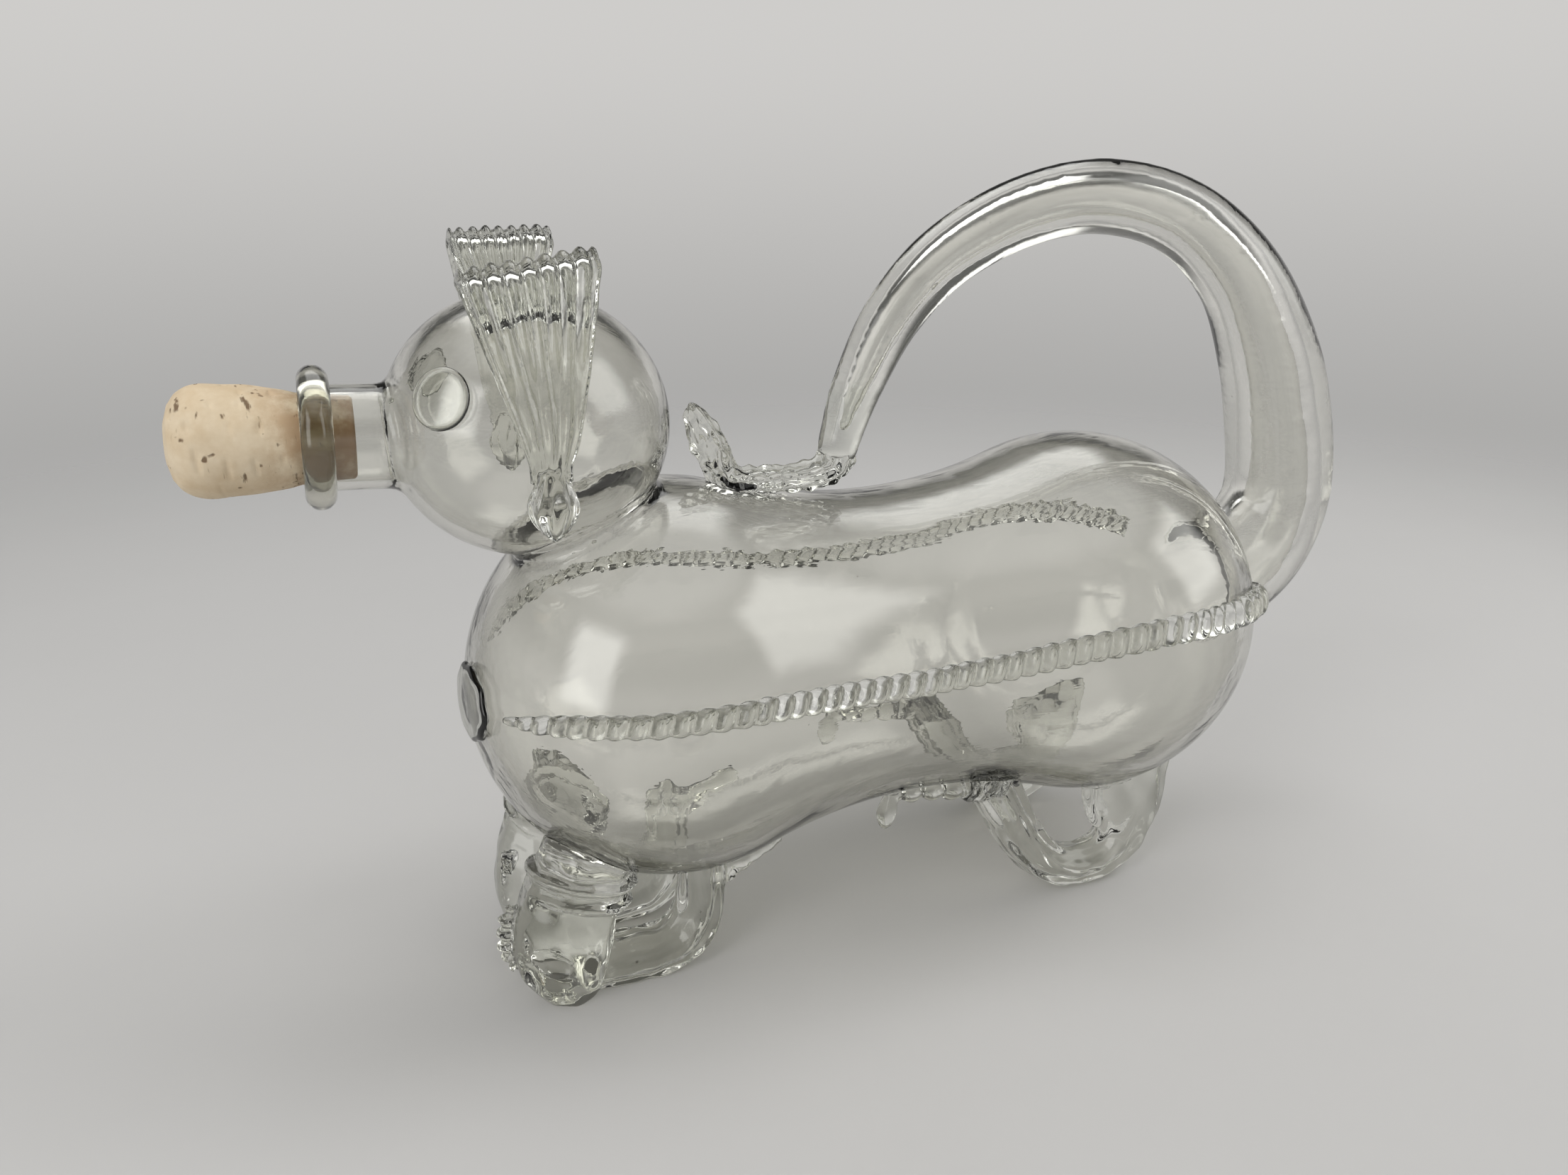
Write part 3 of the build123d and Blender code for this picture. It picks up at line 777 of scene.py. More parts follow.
@dataclass(frozen=True)
class ClearGlass:
    """Clear glass with a faint grey-green cast, and painted shade at its rims, where the colour turns dark olive as
    the surface turns edge-on.
    """

    name: str
    heart: Colour = (0.945, 0.942, 0.908)
    # Painted shade at the rims, over a little of the glass's own deeper olive tint: the colour that edge-on surfaces
    # turn to
    rim: Colour = (0.125, 0.122, 0.072)
    rim_shade_sharpness: float = 2.5
    wave_size: float = 55.0
    wave_height: float = 0.25
    cord_size: float = 210.0
    cord_height: float = 0.05
    polish: float = 0.012
    refraction: float = 1.5
    seed_share: float = 0.45
    shadow_clearness: float = 0.72

    def build(self) -> Material:
        """Builds the material.

        Returns:
            The material.
        """
        material, link = new_material(self.name)
        skin = link.node(
            "Group", node_tree=BlownSkin().group(), Wave_Size=self.wave_size, Wave_Height=self.wave_height,
            Cord_Size=self.cord_size, Cord_Height=self.cord_height, Polish=self.polish,
        ).outputs
        # Painted shade: the colour darkens towards the rim colour as the surface turns edge-on
        facing = link.node("LayerWeight", Blend=0.5).outputs["Facing"]
        tint_and_rim_shade = link.blend(link.maths("POWER", facing, self.rim_shade_sharpness), self.heart, self.rim)
        seeded = link.blend(link.times(skin["Seeds"], self.seed_share), tint_and_rim_shade, self.rim)
        shader = link.node(
            "BsdfPrincipled", Metallic=0.0, IOR=self.refraction, Transmission_Weight=1.0, Base_Color=seeded,
            Roughness=skin["Roughness"], Normal=skin["Normal"],
        )
        shadow = link.node("LightPath").outputs["Is Shadow Ray"]
        clear = link.node("BsdfTransparent", Color=self.heart)
        mix = link.mix(link.times(shadow, self.shadow_clearness), shader, clear)
        link.node("OutputMaterial", Surface=mix.outputs[0])
        return material


@dataclass(frozen=True)
class NaturalCork:
    """Sanded natural cork with dark pores and slits across its grain."""

    name: str = "natural_cork"
    pale: Colour = (0.74, 0.62, 0.45)
    warm: Colour = (0.62, 0.48, 0.31)
    bark: Colour = (0.12, 0.065, 0.03)
    stain: Colour = (0.36, 0.20, 0.10)
    # Where along X, in metres, the stain starts and is full
    stain_range: Row = (-0.119, -0.106)
    # Each noise: scale, detail and roughness
    cloud: Row = (120.0, 6.0, 0.62)
    slits: Row = (620.0, 3.0, 0.55)
    pores: Row = (420.0, 2.0, 0.5)
    grain_scale: float = 900.0
    slit_stretch: Row = (1.0, 0.45, 0.16)
    slit_range: Row = (0.63, 0.72)
    pore_range: Row = (0.67, 0.75)
    warm_range: Row = (0.35, 0.7)
    blotch_range: Row = (0.42, 0.62)
    grain_share: float = 0.35
    stain_share: float = 0.75
    pore_share: float = 0.85
    roughness: float = 0.72
    pore_roughness: float = 0.2
    bump_share: float = 0.3
    bump_strength: float = 0.55
    bump_height: float = 0.4

    def build(self) -> Material:
        """Builds the material.

        Returns:
            The material.
        """
        material, link = new_material(self.name)
        place = link.node("TexCoord").outputs["Object"]
        cloud = link.noise(place, *self.cloud)
        grains = link.node("TexVoronoi", Scale=self.grain_scale, Vector=place).outputs["Distance"]
        stretched = link.node("Mapping", Scale=self.slit_stretch, Vector=place).outputs["Vector"]
        slit = link.ramp(link.noise(stretched, *self.slits), *self.slit_range)
        pore = link.ramp(link.noise(place, *self.pores), *self.pore_range)
        dark = link.maths("MAXIMUM", slit, pore)
        ground = link.blend(link.ramp(cloud, *self.warm_range), self.pale, self.warm)
        speckled = link.blend(link.times(grains, self.grain_share), ground, self.warm)
        near_ring = link.ramp(link.dot(place, (1.0, 0.0, 0.0)), *self.stain_range)
        blotch = link.times(near_ring, link.ramp(cloud, *self.blotch_range))
        stained = link.blend(link.times(blotch, self.stain_share), speckled, self.stain)
        height = link.maths("SUBTRACT", link.times(cloud, self.bump_share), dark)
        bump = link.node("Bump", Strength=self.bump_strength, Distance=self.bump_height * MM, Height=height)
        shader = link.node(
            "BsdfPrincipled", Metallic=0.0,
            Base_Color=link.blend(link.times(dark, self.pore_share), stained, self.bark),
            Roughness=link.maths("ADD", self.roughness, link.times(dark, self.pore_roughness)),
            Normal=bump.outputs["Normal"],
        )
        link.node("OutputMaterial", Surface=shader.outputs[0])
        return material


@dataclass(frozen=True)
class PaleFloor:
    """A pale matt table top that fades into the backdrop away from the object."""

    name: str = "pale_floor"
    colour: Colour = (0.60, 0.585, 0.565)
    darkening: float = 0.94
    cloud: Row = (9.0, 4.0, 0.6)
    roughness: float = 0.62
    cloud_roughness: float = 0.2
    gloss: float = 0.2
    # Where the fade starts and ends, in metres from the middle
    fade_range: Row = (0.32, 0.78)

    def build(self) -> Material:
        """Builds the material.

        Returns:
            The material.
        """
        material, link = new_material(self.name)
        place = link.node("TexCoord").outputs["Object"]
        distance = link.node("VectorMath", operation="LENGTH", Vector=place).outputs["Value"]
        cloud = link.noise(place, *self.cloud)
        darker = tuple(self.darkening * value for value in self.colour)
        shader = link.node(
            "BsdfPrincipled", Metallic=0.0, Specular_IOR_Level=self.gloss,
            Base_Color=link.blend(cloud, darker, self.colour),
            Roughness=link.maths("ADD", self.roughness, link.times(cloud, self.cloud_roughness)),
        )
        mix = link.mix(link.ramp(distance, *self.fade_range), shader, link.node("BsdfTransparent"))
        link.node("OutputMaterial", Surface=mix.outputs[0])
        return material


@dataclass
class TailLeaf:
    """The tail's end: a flattened pad on the back and a pinched leaf that curls up."""

    end_x: float = -5.13
    end_height: float = 107.1
    end_radius: float = 4.29
    pad_length: float = 24.0
    pad_half_height: float = 3.2
    pad_half_width: float = 4.9
    leaf_rise: float = 17.5
    leaf_reach: float = 8.0
    leaf_half_width: float = 3.9
    leaf_half_thickness: float = 2.6
    overlap: float = 4.0
    overlap_lean: float = 0.6
    overlap_share: float = 0.8
    pleat: float = 0.27
    crinkle: float = 0.3
    crinkle_length: float = 2.8
    grain: float = 0.35
    # Each row: place back from the end, rise, half depth and half width, as shares
    pad_shares: Rows = ((0.1, 0.28, 1.05, 1.0), (0.34, 0.0, 0.95, 1.0), (0.68, 0.05, 0.9, 0.94))
    # Each row: reach forwards, rise, half width and half thickness, as shares
    leaf_shares: Rows = (
        (0.0, 0.06, 0.86, 1.7), (0.3, 0.3, 1.0, 1.15), (0.62, 0.62, 0.92, 0.95), (0.9, 0.9, 0.5, 0.6),
        (1.0, 1.0, 0.08, 0.12),
    )

    def stations(self) -> list[Row]:
        """The finial's sections from inside the tube's end to the leaf's tip.

        Returns:
            The sections, for draw_glass.
        """
        pad_x = BODY.tail_landing_x - self.pad_length / 2
        pad_height = BODY.axis_height + BODY.over(pad_x, 0)[1] + self.pad_half_height
        inside = self.end_radius * self.overlap_share
        rows = [
            (self.end_x + self.overlap_lean, 0.0, self.end_height + self.overlap, inside, inside),
            (self.end_x, 0.0, self.end_height, self.end_radius, self.end_radius),
        ]
        fall = (-self.pad_length, self.end_height - pad_height, self.pad_half_height, self.pad_half_width)
        rows += sections(self.pad_shares, (self.end_x, 0.0, pad_height), fall)
        curl = (-self.leaf_reach, self.leaf_rise, self.leaf_half_width, self.leaf_half_thickness)
        return rows + sections(self.leaf_shares, (BODY.tail_landing_x - self.pad_length, 0.0, pad_height), curl)

    def build(self) -> Piece:
        """Builds the finial.

        Returns:
            The piece.
        """
        piece = fuse("tail_leaf", [draw_glass(self.stations(), 10, 60, 6, self.pleat)], self.grain, 2)
        ripple(piece, self.crinkle_length, self.crinkle, 71)
        return piece


@dataclass
class Vessel:
    """The blown bottle: body, head, snout and hollow tail in one skin."""

    material: Material
    leaf_material: Material
    grain: float = 1.0
    smoothing: int = 10
    throat_radius: float = 12.2
    weld_radius: float = 13.6
    weld_thickness: float = 1.3
    bore_radius: float = 8.1
    lip_length: float = 2.1
    tail_span: float = 124.1
    tail_rise: float = 95.4
    tail_root_radius: float = 12.9
    # The leaf's faces lie between these places, below this height and so far over the back
    leaf_front_x: float = -42.0
    leaf_rear_x: float = 4.0
    leaf_top: float = 122.0
    leaf_foot: float = 0.5
    # Each row: place along the span, place up the rise and radius, as shares of the sizes
    # above, and the bore's share of that radius, 0 past the bore's end
    tail_shares: Rows = (
        (0.784, 0.003, 1.2, 0.83), (0.881, 0.045, 1.13, 0.79), (0.949, 0.103, 1.07, 0.72),
        (0.992, 0.192, 1.01, 0.62), (1.0, 0.29, 0.99, 0.54), (0.976, 0.445, 0.97, 0.49),
        (0.929, 0.616, 0.9, 0.47), (0.836, 0.806, 0.755, 0.47), (0.693, 0.945, 0.655, 0.48),
        (0.521, 1.0, 0.615, 0.48), (0.356, 0.974, 0.575, 0.48), (0.204, 0.884, 0.53, 0.47),
        (0.105, 0.76, 0.485, 0.44), (0.044, 0.618, 0.425, 0.38), (0.014, 0.51, 0.36, 0.2),
        (0.003, 0.455, 0.33, 0.0),
    )

    def tail(self, bore: bool) -> list[Row]:
        """The sections of the tail, or of its bore.

        Args:
            bore: Whether the bore is asked for.

        Returns:
            The sections, for draw_glass.
        """
        stations = []
        for along, rise, size, bore_share in self.tail_shares:
            radius = size * self.tail_root_radius * (bore_share if bore else 1)
            x = BODY.tail_landing_x + along * self.tail_span
            if radius:
                stations.append((x, 0.0, BODY.axis_height + rise * self.tail_rise, radius, radius))
        return stations

    def snout(self, radius: float, end: float) -> Solid:
        """A bar along the snout, from inside the head to an end past the ring."""
        start = HEAD.half_length / 2 - float(np.linalg.norm(HEAD.ring - HEAD.centre))
        return lathe(((start, radius), (end, radius)), HEAD.ring, HEAD.nose)

    def weld(self) -> Solid:
        """The thick ring of glass where the head is fused to the chest.

        Returns:
            The ring as a solid.
        """
        way = HEAD.centre - BODY.chest
        distance = float(np.linalg.norm(way))
        reach = (distance**2 + BODY.chest_radius**2 - HEAD.radius**2) / (2 * distance)
        thick = self.weld_thickness
        profile = half_oval(thick, thick, 12, self.weld_radius)
        return lathe([(-thick, 0.0), *profile, (thick, 0.0)], BODY.chest + unit(way) * reach, way)

    def outer_solids(self) -> list[Solid]:
        """The solids whose union is the bottle's outside."""
        snout = self.snout(HEAD.neck_radius, self.lip_length)
        return [BODY.solid(0), HEAD.bulb(0), self.weld(), snout, draw_glass(self.tail(False), 10, 56)]

    def inner_solids(self) -> list[Solid]:
        """The solids whose union is the bottle's hollow.

        Returns:
            The solids, which overlap.
        """
        way = HEAD.centre - BODY.chest
        ends = (BODY.chest_radius / 2, float(np.linalg.norm(way)))
        throat = lathe([(end, self.throat_radius) for end in ends], BODY.chest, way, 64)
        bore = self.snout(self.bore_radius, self.lip_length + BODY.wall)
        return [BODY.solid(-BODY.wall), HEAD.bulb(-HEAD.wall), throat, bore, draw_glass(self.tail(True), 10, 40)]

    def build(self) -> None:
        """Builds the bottle, with the leaf on its back."""
        shell = fuse("bottle_glass", self.outer_solids(), self.grain, self.smoothing)
        hollow = fuse("bottle_hollow", self.inner_solids(), self.grain, self.smoothing)
        combine(shell, hollow, "DIFFERENCE")
        combine(shell, TailLeaf().build(), "UNION")
        dress(shell, self.material, ("body_shell", "head_bulb", "snout_neck", "tail_tube", "tail_finial"))
        self.dress_leaf(shell)

    def dress_leaf(self, shell: Piece) -> None:
        """Gives the pinched leaf on the back, which is drawn glass, its own finish.

        Args:
            shell: The bottle's shell, which the leaf is part of.
        """
        shell.data.materials.append(self.leaf_material)
        for face in shell.data.polygons:
            x, y, z = face.center / MM
            if self.leaf_front_x < x < self.leaf_rear_x and z < self.leaf_top:
                face.material_index = int(hypot(y, z - BODY.axis_height) > BODY.over(x, 0)[1] + self.leaf_foot)


@dataclass
class MouthRing:
    """The thread of glass wound round the mouth, slightly uneven."""

    material: Material
    tube_radius: float = 2.7
    outer_radius: float = 13.0
    # The section's turn from one foot to the other, as a share of a half turn
    turn_shares: Row = (-0.32, 1.32)
    unevenness: float = 0.012
    swells: int = 3
    first_swell: float = 0.7
    segments: int = 128

    def build(self) -> None:
        """Builds the ring."""
        foot = HEAD.neck_radius + SEAT_GAP
        turn = np.linspace(*(share * pi for share in self.turn_shares), 40)
        along = np.outer(self.tube_radius * np.cos(turn), HEAD.nose)
        height = np.maximum(self.outer_radius - self.tube_radius + self.tube_radius * np.sin(turn), foot) - foot
        count = len(turn)
        rings, faces = [], []
        for row, way in enumerate(circle_about(HEAD.nose, self.segments)):
            wave = sin(self.swells * 2 * pi * row / self.segments + self.first_swell)
            swell = 1 - self.unevenness * (1 + wave)
            rings.append(HEAD.ring + along + np.outer(foot + height * swell, way))
            faces += band(row * count, (row + 1) % self.segments * count, count)
        dress(make_object("mouth_ring_glass", (np.vstack(rings), faces)), self.material, ("mouth_ring",))


@dataclass
class Cork:
    """The tapered cork in the mouth."""

    material: Material
    mouth: Points
    depth: float = 8.4
    inner_radius: float = 7.5
    chamfer: float = 0.5
    mouth_radius: float = 8.05
    shoulder: Row = (2.7, 8.7)
    # Each row: place past the mouth as a share of stick_out, and the radius there
    swell_shares: Rows = ((0.3, 9.35), (0.6, 10.0), (0.78, 9.75))
    stick_out: float = 22.15
    # Each row: place before the outer end, and the radius there
    end_rows: Rows = ((2.4, 8.6), (0.9, 6.7))
    end_face: Row = (0.15, 4.0)
    step: float = 0.45
    segments: int = 144
    pit_length: float = 2.2
    pit_stretch: Row = (1.0, 0.55, 0.3)
    pit_threshold: float = 0.9
    pit_depth: float = 0.5
    lump_length: float = 7.0
    lump_height: float = 0.09
    # The pits and lumps reach their full depth this far out of the mouth
    free_length: float = 2.0

    def profile(self) -> list[Row]:
        """The cork's outline from its inner end to its outer end.

        Returns:
            Rows of place past the mouth and radius.
        """
        middle = (self.inner_radius + self.mouth_radius) / 2
        body = [(self.chamfer - self.depth, self.inner_radius), (-self.depth / 2, middle), (0.0, self.mouth_radius)]
        body += [self.shoulder, *((share * self.stick_out, radius) for share, radius in self.swell_shares)]
        body += [(self.stick_out - back, radius) for back, radius in self.end_rows]
        start = [(-self.depth, 0.0), (-self.depth, self.inner_radius - self.chamfer)]
        end = [(self.stick_out - self.end_face[0], self.end_face[1]), (self.stick_out, 0.0)]
        rows = [*start, *smooth_rows(np.array(body), 8), *end]
        fine = []
        for (a0, r0), (a1, r1) in zip(rows, rows[1:]):
            parts = max(int(ceil(hypot(a1 - a0, r1 - r0) / self.step)), 1)
            for share in np.linspace(0, 1, parts, endpoint=False):
                fine.append((a0 + (a1 - a0) * share, r0 + (r1 - r0) * share))
        return [*fine, rows[-1]]

    def build(self) -> None:
        """Builds the cork, pitted where it stands out of the mouth."""
        piece = make_object("cork_body", lathe(self.profile(), self.mouth, HEAD.nose, self.segments))
        points = read_points(piece)
        offset = points - self.mouth
        along = offset @ HEAD.nose
        out = unit(offset - np.outer(along, HEAD.nose))
        free = np.clip(along / self.free_length, 0, 1)
        pits = np.clip(wander(points * np.array(self.pit_stretch), self.pit_length, 11) - self.pit_threshold, 0, 1)
        lumps = wander(points, self.lump_length, 5) * self.lump_height
        depth = free * (pits * self.pit_depth + lumps + self.lump_height)
        write_points(piece, points - out * depth[:, None])
        dress(piece, self.material, ("cork_stopper",), Stuff.CORK)


@dataclass
class Drop:
    """A flat drop of glass pressed on a bulb, such as an eye."""

    material: Material
    node: str
    place: Points
    normal: Points
    half_width: float
    half_height: float
    height: float
    seat: Callable[[Points, float], Points]
    notches: int = 0
    notch_depth: float = 0.0
    dimple: float = 0.12
    segments: int = 96
    # Inside this share of the drop its notches are half as deep
    notch_share: float = 0.7
    # Each row: distance from the middle, height, and share of the dimple
    shares: Rows = (
        (0.1, 0.0, 0.0), (0.35, 0.0, 0.0), (0.6, 0.0, 0.0), (0.8, 0.0, 0.0), (0.93, 0.0, 0.0), (0.975, 0.12, 0.0),
        (1.0, 0.34, 0.0), (0.99, 0.58, 0.0), (0.94, 0.82, 0.0), (0.86, 0.96, 0.0), (0.76, 1.0, 0.0),
        (0.6, 1.0, 0.4), (0.4, 1.0, 0.8), (0.1, 1.0, 1.0),
    )

    def build(self) -> None:
        """Builds the drop."""
        normal = unit(self.normal)
        across = unit(np.cross(UPWARDS, normal))
        up = np.cross(normal, across)
        turn = np.linspace(0, 2 * pi, self.segments, endpoint=False)
        edge = 1 - self.notch_depth * (0.5 - 0.5 * np.cos(turn * self.notches))
        rings = []
        for share, rise, sunk in self.shares:
            reach = share * (edge if share > self.notch_share else edge * 0.5 + 0.5)
            flat = np.outer(np.cos(turn) * self.half_width * reach, across)
            flat += np.outer(np.sin(turn) * self.half_height * reach, up)
            rings.append(self.seat(self.place + flat, SEAT_GAP + (rise - sunk * self.dimple) * self.height))
        piece = make_object(self.node + "_glass", skin_rings(rings))
        turn_outwards(piece)
        dress(piece, self.material, (self.node,))


@dataclass
class Ear:
    """A ribbed ribbon rolled over on top of the head and pinched to a drop at its end."""

    material: Material
    side: Side
    middle_x: float
    top: float
    width: float
    slope: float
    seed: int
    thickness: float = 1.6
    roll_thickness: float = 2.2
    rib_height: float = 1.15
    inner_rib_share: float = 0.5
    bead_height: float = 0.45
    bead_place: float = 0.95
    bead_width: float = 0.035
    curl_swell: float = 1.4
    ribs: int = 8
    columns_per_rib: int = 12
    rib_power: float = 0.7
    low_rib_share: float = 0.3
    rib_growth_power: float = 1.3
    # How fast, and after which share, the ribs turn fine on their way up
    fine_slope: float = 2.2
    fine_start: float = 0.6
    edge_power: int = 14
    edge_rest: float = 0.02
    pinch_width: float = 7.4
    pinch_height: float = 114.6
    pinch_start_share: float = 0.4
    rear_edge_power: float = 0.8
    roll_radius: float = 3.9
    root_out: float = 13.6
    gap: float = 0.25
    end_drop: float = 11.0
    drop_radius: float = 4.6
    drop_length: float = 11.0
    drop_crimp: float = 0.24
    drop_out: float = 0.6
    drop_flatness: float = 0.8
    root_travel: float = 0.2
    root_taper: float = 2.6
    grain: float = 0.3
    ripple_length: float = 6.0
    ripple_height: float = 0.07
    # Each row: place up the drop and radius, as shares
    drop_shares: Rows = (
        (0.0, 0.05), (0.04, 0.2), (0.14, 0.52), (0.3, 0.84), (0.45, 1.0), (0.6, 0.98), (0.76, 0.78), (0.9, 0.62),
        (1.0, 0.5),
    )

    @property
    def roll_z(self) -> float:
        """Height of the middle of the roll on top."""
        return self.top - self.roll_radius - self.thickness / 2 - self.rib_height

    def path(self) -> tuple[Points, Points]:
        """The ribbon's middle line in the YZ plane, on the +Y side.

        Returns:
            Places (y, z) along the line and the outward normals there.
        """
        surface = HEAD.radius + self.gap + self.thickness / 2
        root_z = HEAD.height + sqrt(HEAD.radius**2 - self.root_out**2) - self.thickness
        inner = self.root_out - self.thickness / 2
        outer = inner + 2 * self.roll_radius
        roll_z = self.roll_z
        turn = atan2(roll_z - HEAD.height, outer) - acos(surface / hypot(outer, roll_z - HEAD.height))
        touch = (surface * cos(turn), HEAD.height + surface * sin(turn))
        climb = np.linspace((self.root_out, root_z), (inner, roll_z), 14)
        fall = np.linspace((outer, roll_z), touch, 26)[1:]
        roll = [(inner + self.roll_radius * (1 - cos(t)), roll_z + self.roll_radius * sin(t))
                for t in np.linspace(0, pi, 26)[1:]]
        hang = [(surface * cos(t), HEAD.height + surface * sin(t))
                for t in np.linspace(turn, -radians(self.end_drop), 22)[1:]]
        line = np.vstack([climb, roll, fall, hang])
        tangent = unit(np.gradient(line, axis=0))
        return line, np.stack([-tangent[:, 1], tangent[:, 0]], axis=1)

    def edges_at(self, z: float, travel: float) -> tuple[float, float]:
        """The ribbon's front and rear edges, counted along X from its middle.

        Args:
            z: Height on the ribbon.
            travel: Share of the way along the ribbon.

        Returns:
            Places of the front edge and the rear edge.
        """
        low, high = self.pinch_height + self.pinch_start_share * self.pinch_width, self.top - self.roll_radius
        share = clamp((z - low) / (high - low))
        half, pinch = self.width / 2, self.pinch_width / 2
        taper = self.root_taper * max(1 - travel / self.root_travel, 0)
        return taper - pinch - (half - pinch) * share, pinch + (half - pinch) * share**self.rear_edge_power - taper

    def ribbon(self) -> Solid:
        """The ribbed ribbon as a solid, its ribs finer and its skin thicker towards the roll.

        Returns:
            The ribbon as a solid.
        """
        line, normals = self.path()
        across = np.linspace(-1, 1, self.columns_per_rib * self.ribs + 1)
        fine = (0.5 + 0.5 * np.cos((across + 1) * pi * self.ribs)) ** self.rib_power
        broad = 0.5 + 0.5 * np.cos((across + 1) * pi * self.ribs / 2)
        bead = self.bead_height * np.exp(-(((np.abs(across) - self.bead_place) / self.bead_width) ** 2))
        round_off = np.sqrt(np.clip(1 + self.edge_rest - np.abs(across) ** self.edge_power, self.edge_rest, 1))
        lean = np.tan(radians(self.slope))
        travel = np.concatenate([[0.0], np.cumsum(np.linalg.norm(np.diff(line, axis=0), axis=1))])
        rings = []
        for (y, z), (ny, nz), share in zip(line, normals, travel / travel[-1]):
            front, rear = self.edges_at(z, share)
            climb = clamp((z - HEAD.height) / (self.roll_z - HEAD.height))
            flutes = broad + (fine - broad) * clamp(self.fine_slope * climb - self.fine_start)
            growth = self.low_rib_share + (1 - self.low_rib_share) * climb**self.rib_growth_power
            ribs = self.rib_height * growth * (flutes - 0.5)
            half = (self.thickness + (self.roll_thickness - self.thickness) * climb**2) / 2
            curl = bead * (1 + self.curl_swell * climb**2 * (across < 0))
            lift = (half + ribs + curl) * round_off
            sink = (half + self.inner_rib_share * ribs + curl / 2) * round_off
            xs = self.middle_x + front + (across + 1) / 2 * (rear - front)
            tilt = (xs - self.middle_x) * lean * climb
            upper = np.stack([xs, y + ny * lift, z + nz * lift + tilt], axis=1)
            lower = np.stack([xs, y - ny * sink, z - nz * sink + tilt], axis=1)
            rings.append(np.vstack([upper, lower[::-1]]))
        return skin_rings(rings)

    def drop(self) -> Solid:
        """The pinched drop at the ribbon's end.

        Returns:
            The drop as a solid.
        """
        top, length = self.pinch_height + self.thickness, self.drop_length + self.thickness
        stations = []
        for along, size in smooth_rows(np.array(self.drop_shares), 4):
            radius = size * self.drop_radius
            z = top - length + along * length
            stations.append((self.middle_x, HEAD.radius + self.drop_out, z, radius, self.drop_flatness * radius))
        return draw_glass(stations, 2, 60, 6, self.drop_crimp)

    def build(self) -> None:
        """Builds the ear."""
        name = self.side.named("ear")
        piece = fuse(name + "_glass", [self.ribbon(), self.drop()], self.grain, 2)
        ripple(piece, self.ripple_length, self.ripple_height, self.seed)
        write_points(piece, read_points(piece) * np.array([1, self.side.value, 1]))
        turn_outwards(piece)
        cut(piece, HEAD.bulb(SEAT_GAP))
        dress(piece, self.material, (name,))


@dataclass
class Trail:
    """A crimped thread of glass along a flank."""

    material: Material
    side: Side
    angle: float
    angle_shares: Rows
    seed: int
    front_x: float = -81.0
    rear_x: float = 92.0
    tip_width: float = 1.4
    front_width: float = 4.4
    rear_width: float = 7.2
    taper_share: float = 0.1
    web_height: float = 0.6
    crimp_height: float = 2.9
    front_crimp_share: float = 0.8
    pitch: float = 3.9
    slant: float = 0.25
    samples: int = 12
    columns: int = 17
    # How far ahead and behind the trail's heading is read
    probe: float = 0.6
    jitter: float = 0.12
    vigour: Row = (0.86, 1.08)
    ridge_power: float = 0.55
    dome_powers: Row = (3.0, 0.6)
    valley_width_share: float = 0.84
    film: float = 0.02

    def half_width(self, share: float) -> float:
        """Half of the trail's width at a share of its length.

        Args:
            share: Place along the trail, from 0 in front to 1.

        Returns:
            Half of the width.
        """
        full = self.front_width + (self.rear_width - self.front_width) * share
        taper = sin(pi / 2 * min(share / self.taper_share, 1))
        return (self.tip_width + (full - self.tip_width) * taper) / 2

    def centre_line(self) -> tuple[Points, Points]:
        """Places along the trail's middle on the glass, and the distance along it to each.

        Returns:
            The places and the distances.
        """
        places = []
        for share in np.linspace(0, 1, 700):
            x = self.front_x + share * (self.rear_x - self.front_x)
            places.append(BODY.place(x, self.angle * read_table(self.angle_shares, share), self.side))
        line = np.array(places)
        return line, np.concatenate([[0.0], np.cumsum(np.linalg.norm(np.diff(line, axis=0), axis=1))])

    def normal_at(self, centre: Points) -> Points:
        """The direction square to the glass at a point on it.

        Args:
            centre: The point on the glass.

        Returns:
            The direction, of length one.
        """
        along, out = BODY.over(float(centre[0]), 1.0)
        outward = centre[1:] - np.array([0.0, BODY.axis_height])
        return unit(np.array([along - centre[0], *unit(outward) * (out - np.linalg.norm(outward))]))

    def build(self) -> None:
        """Builds the trail."""
        line, travel = self.centre_line()
        length = travel[-1]
        crimps = int(round(length / self.pitch))
        pitch = length / crimps
        dice = np.random.default_rng(self.seed)
        jitter = dice.uniform(-self.jitter, self.jitter, crimps + 2)
        vigour = dice.uniform(*self.vigour, crimps + 2)
        columns = np.linspace(-1, 1, self.columns)
        sharp, blunt = self.dome_powers
        dome = np.clip(1 - np.abs(columns) ** sharp, 0, 1) ** blunt
        rings = []
        for place in np.linspace(0, length, crimps * self.samples + 1):
            steps = (place, min(place + self.probe, length), max(place - self.probe, 0))
            centre, ahead, behind = (
                np.array([np.interp(step, travel, line[:, k]) for k in range(3)]) for step in steps
            )
            normal = self.normal_at(centre)
            across = unit(np.cross(normal, unit(ahead - behind)))
            half = self.half_width(place / length)
            crimp_at = (place + columns * half * self.slant * self.side.value) / pitch
            index = np.clip(np.floor(crimp_at).astype(int), 0, crimps)
            phase = crimp_at - np.floor(crimp_at) + jitter[index] * 0.5
            ridge = np.clip(0.5 - 0.5 * np.cos(2 * pi * phase), 0, 1) ** self.ridge_power * vigour[index]
            growth = self.front_crimp_share + (1 - self.front_crimp_share) * place / length
            rise = (self.crimp_height * growth - self.web_height) * min(place / (2 * pitch), 1)
            height = (self.web_height + rise * ridge) * dome
            reach = half * (self.valley_width_share + (1 - self.valley_width_share) * ridge)
            foot = BODY.seat(centre + (columns * reach)[:, None] * across, SEAT_GAP)
            rings.append(np.vstack([foot + (height + self.film)[:, None] * normal, foot[::-1]]))
        name = self.side.named("trail")
        piece = make_object(name + "_glass", skin_rings(rings))
        turn_outwards(piece)
        dress(piece, self.material, (name,))


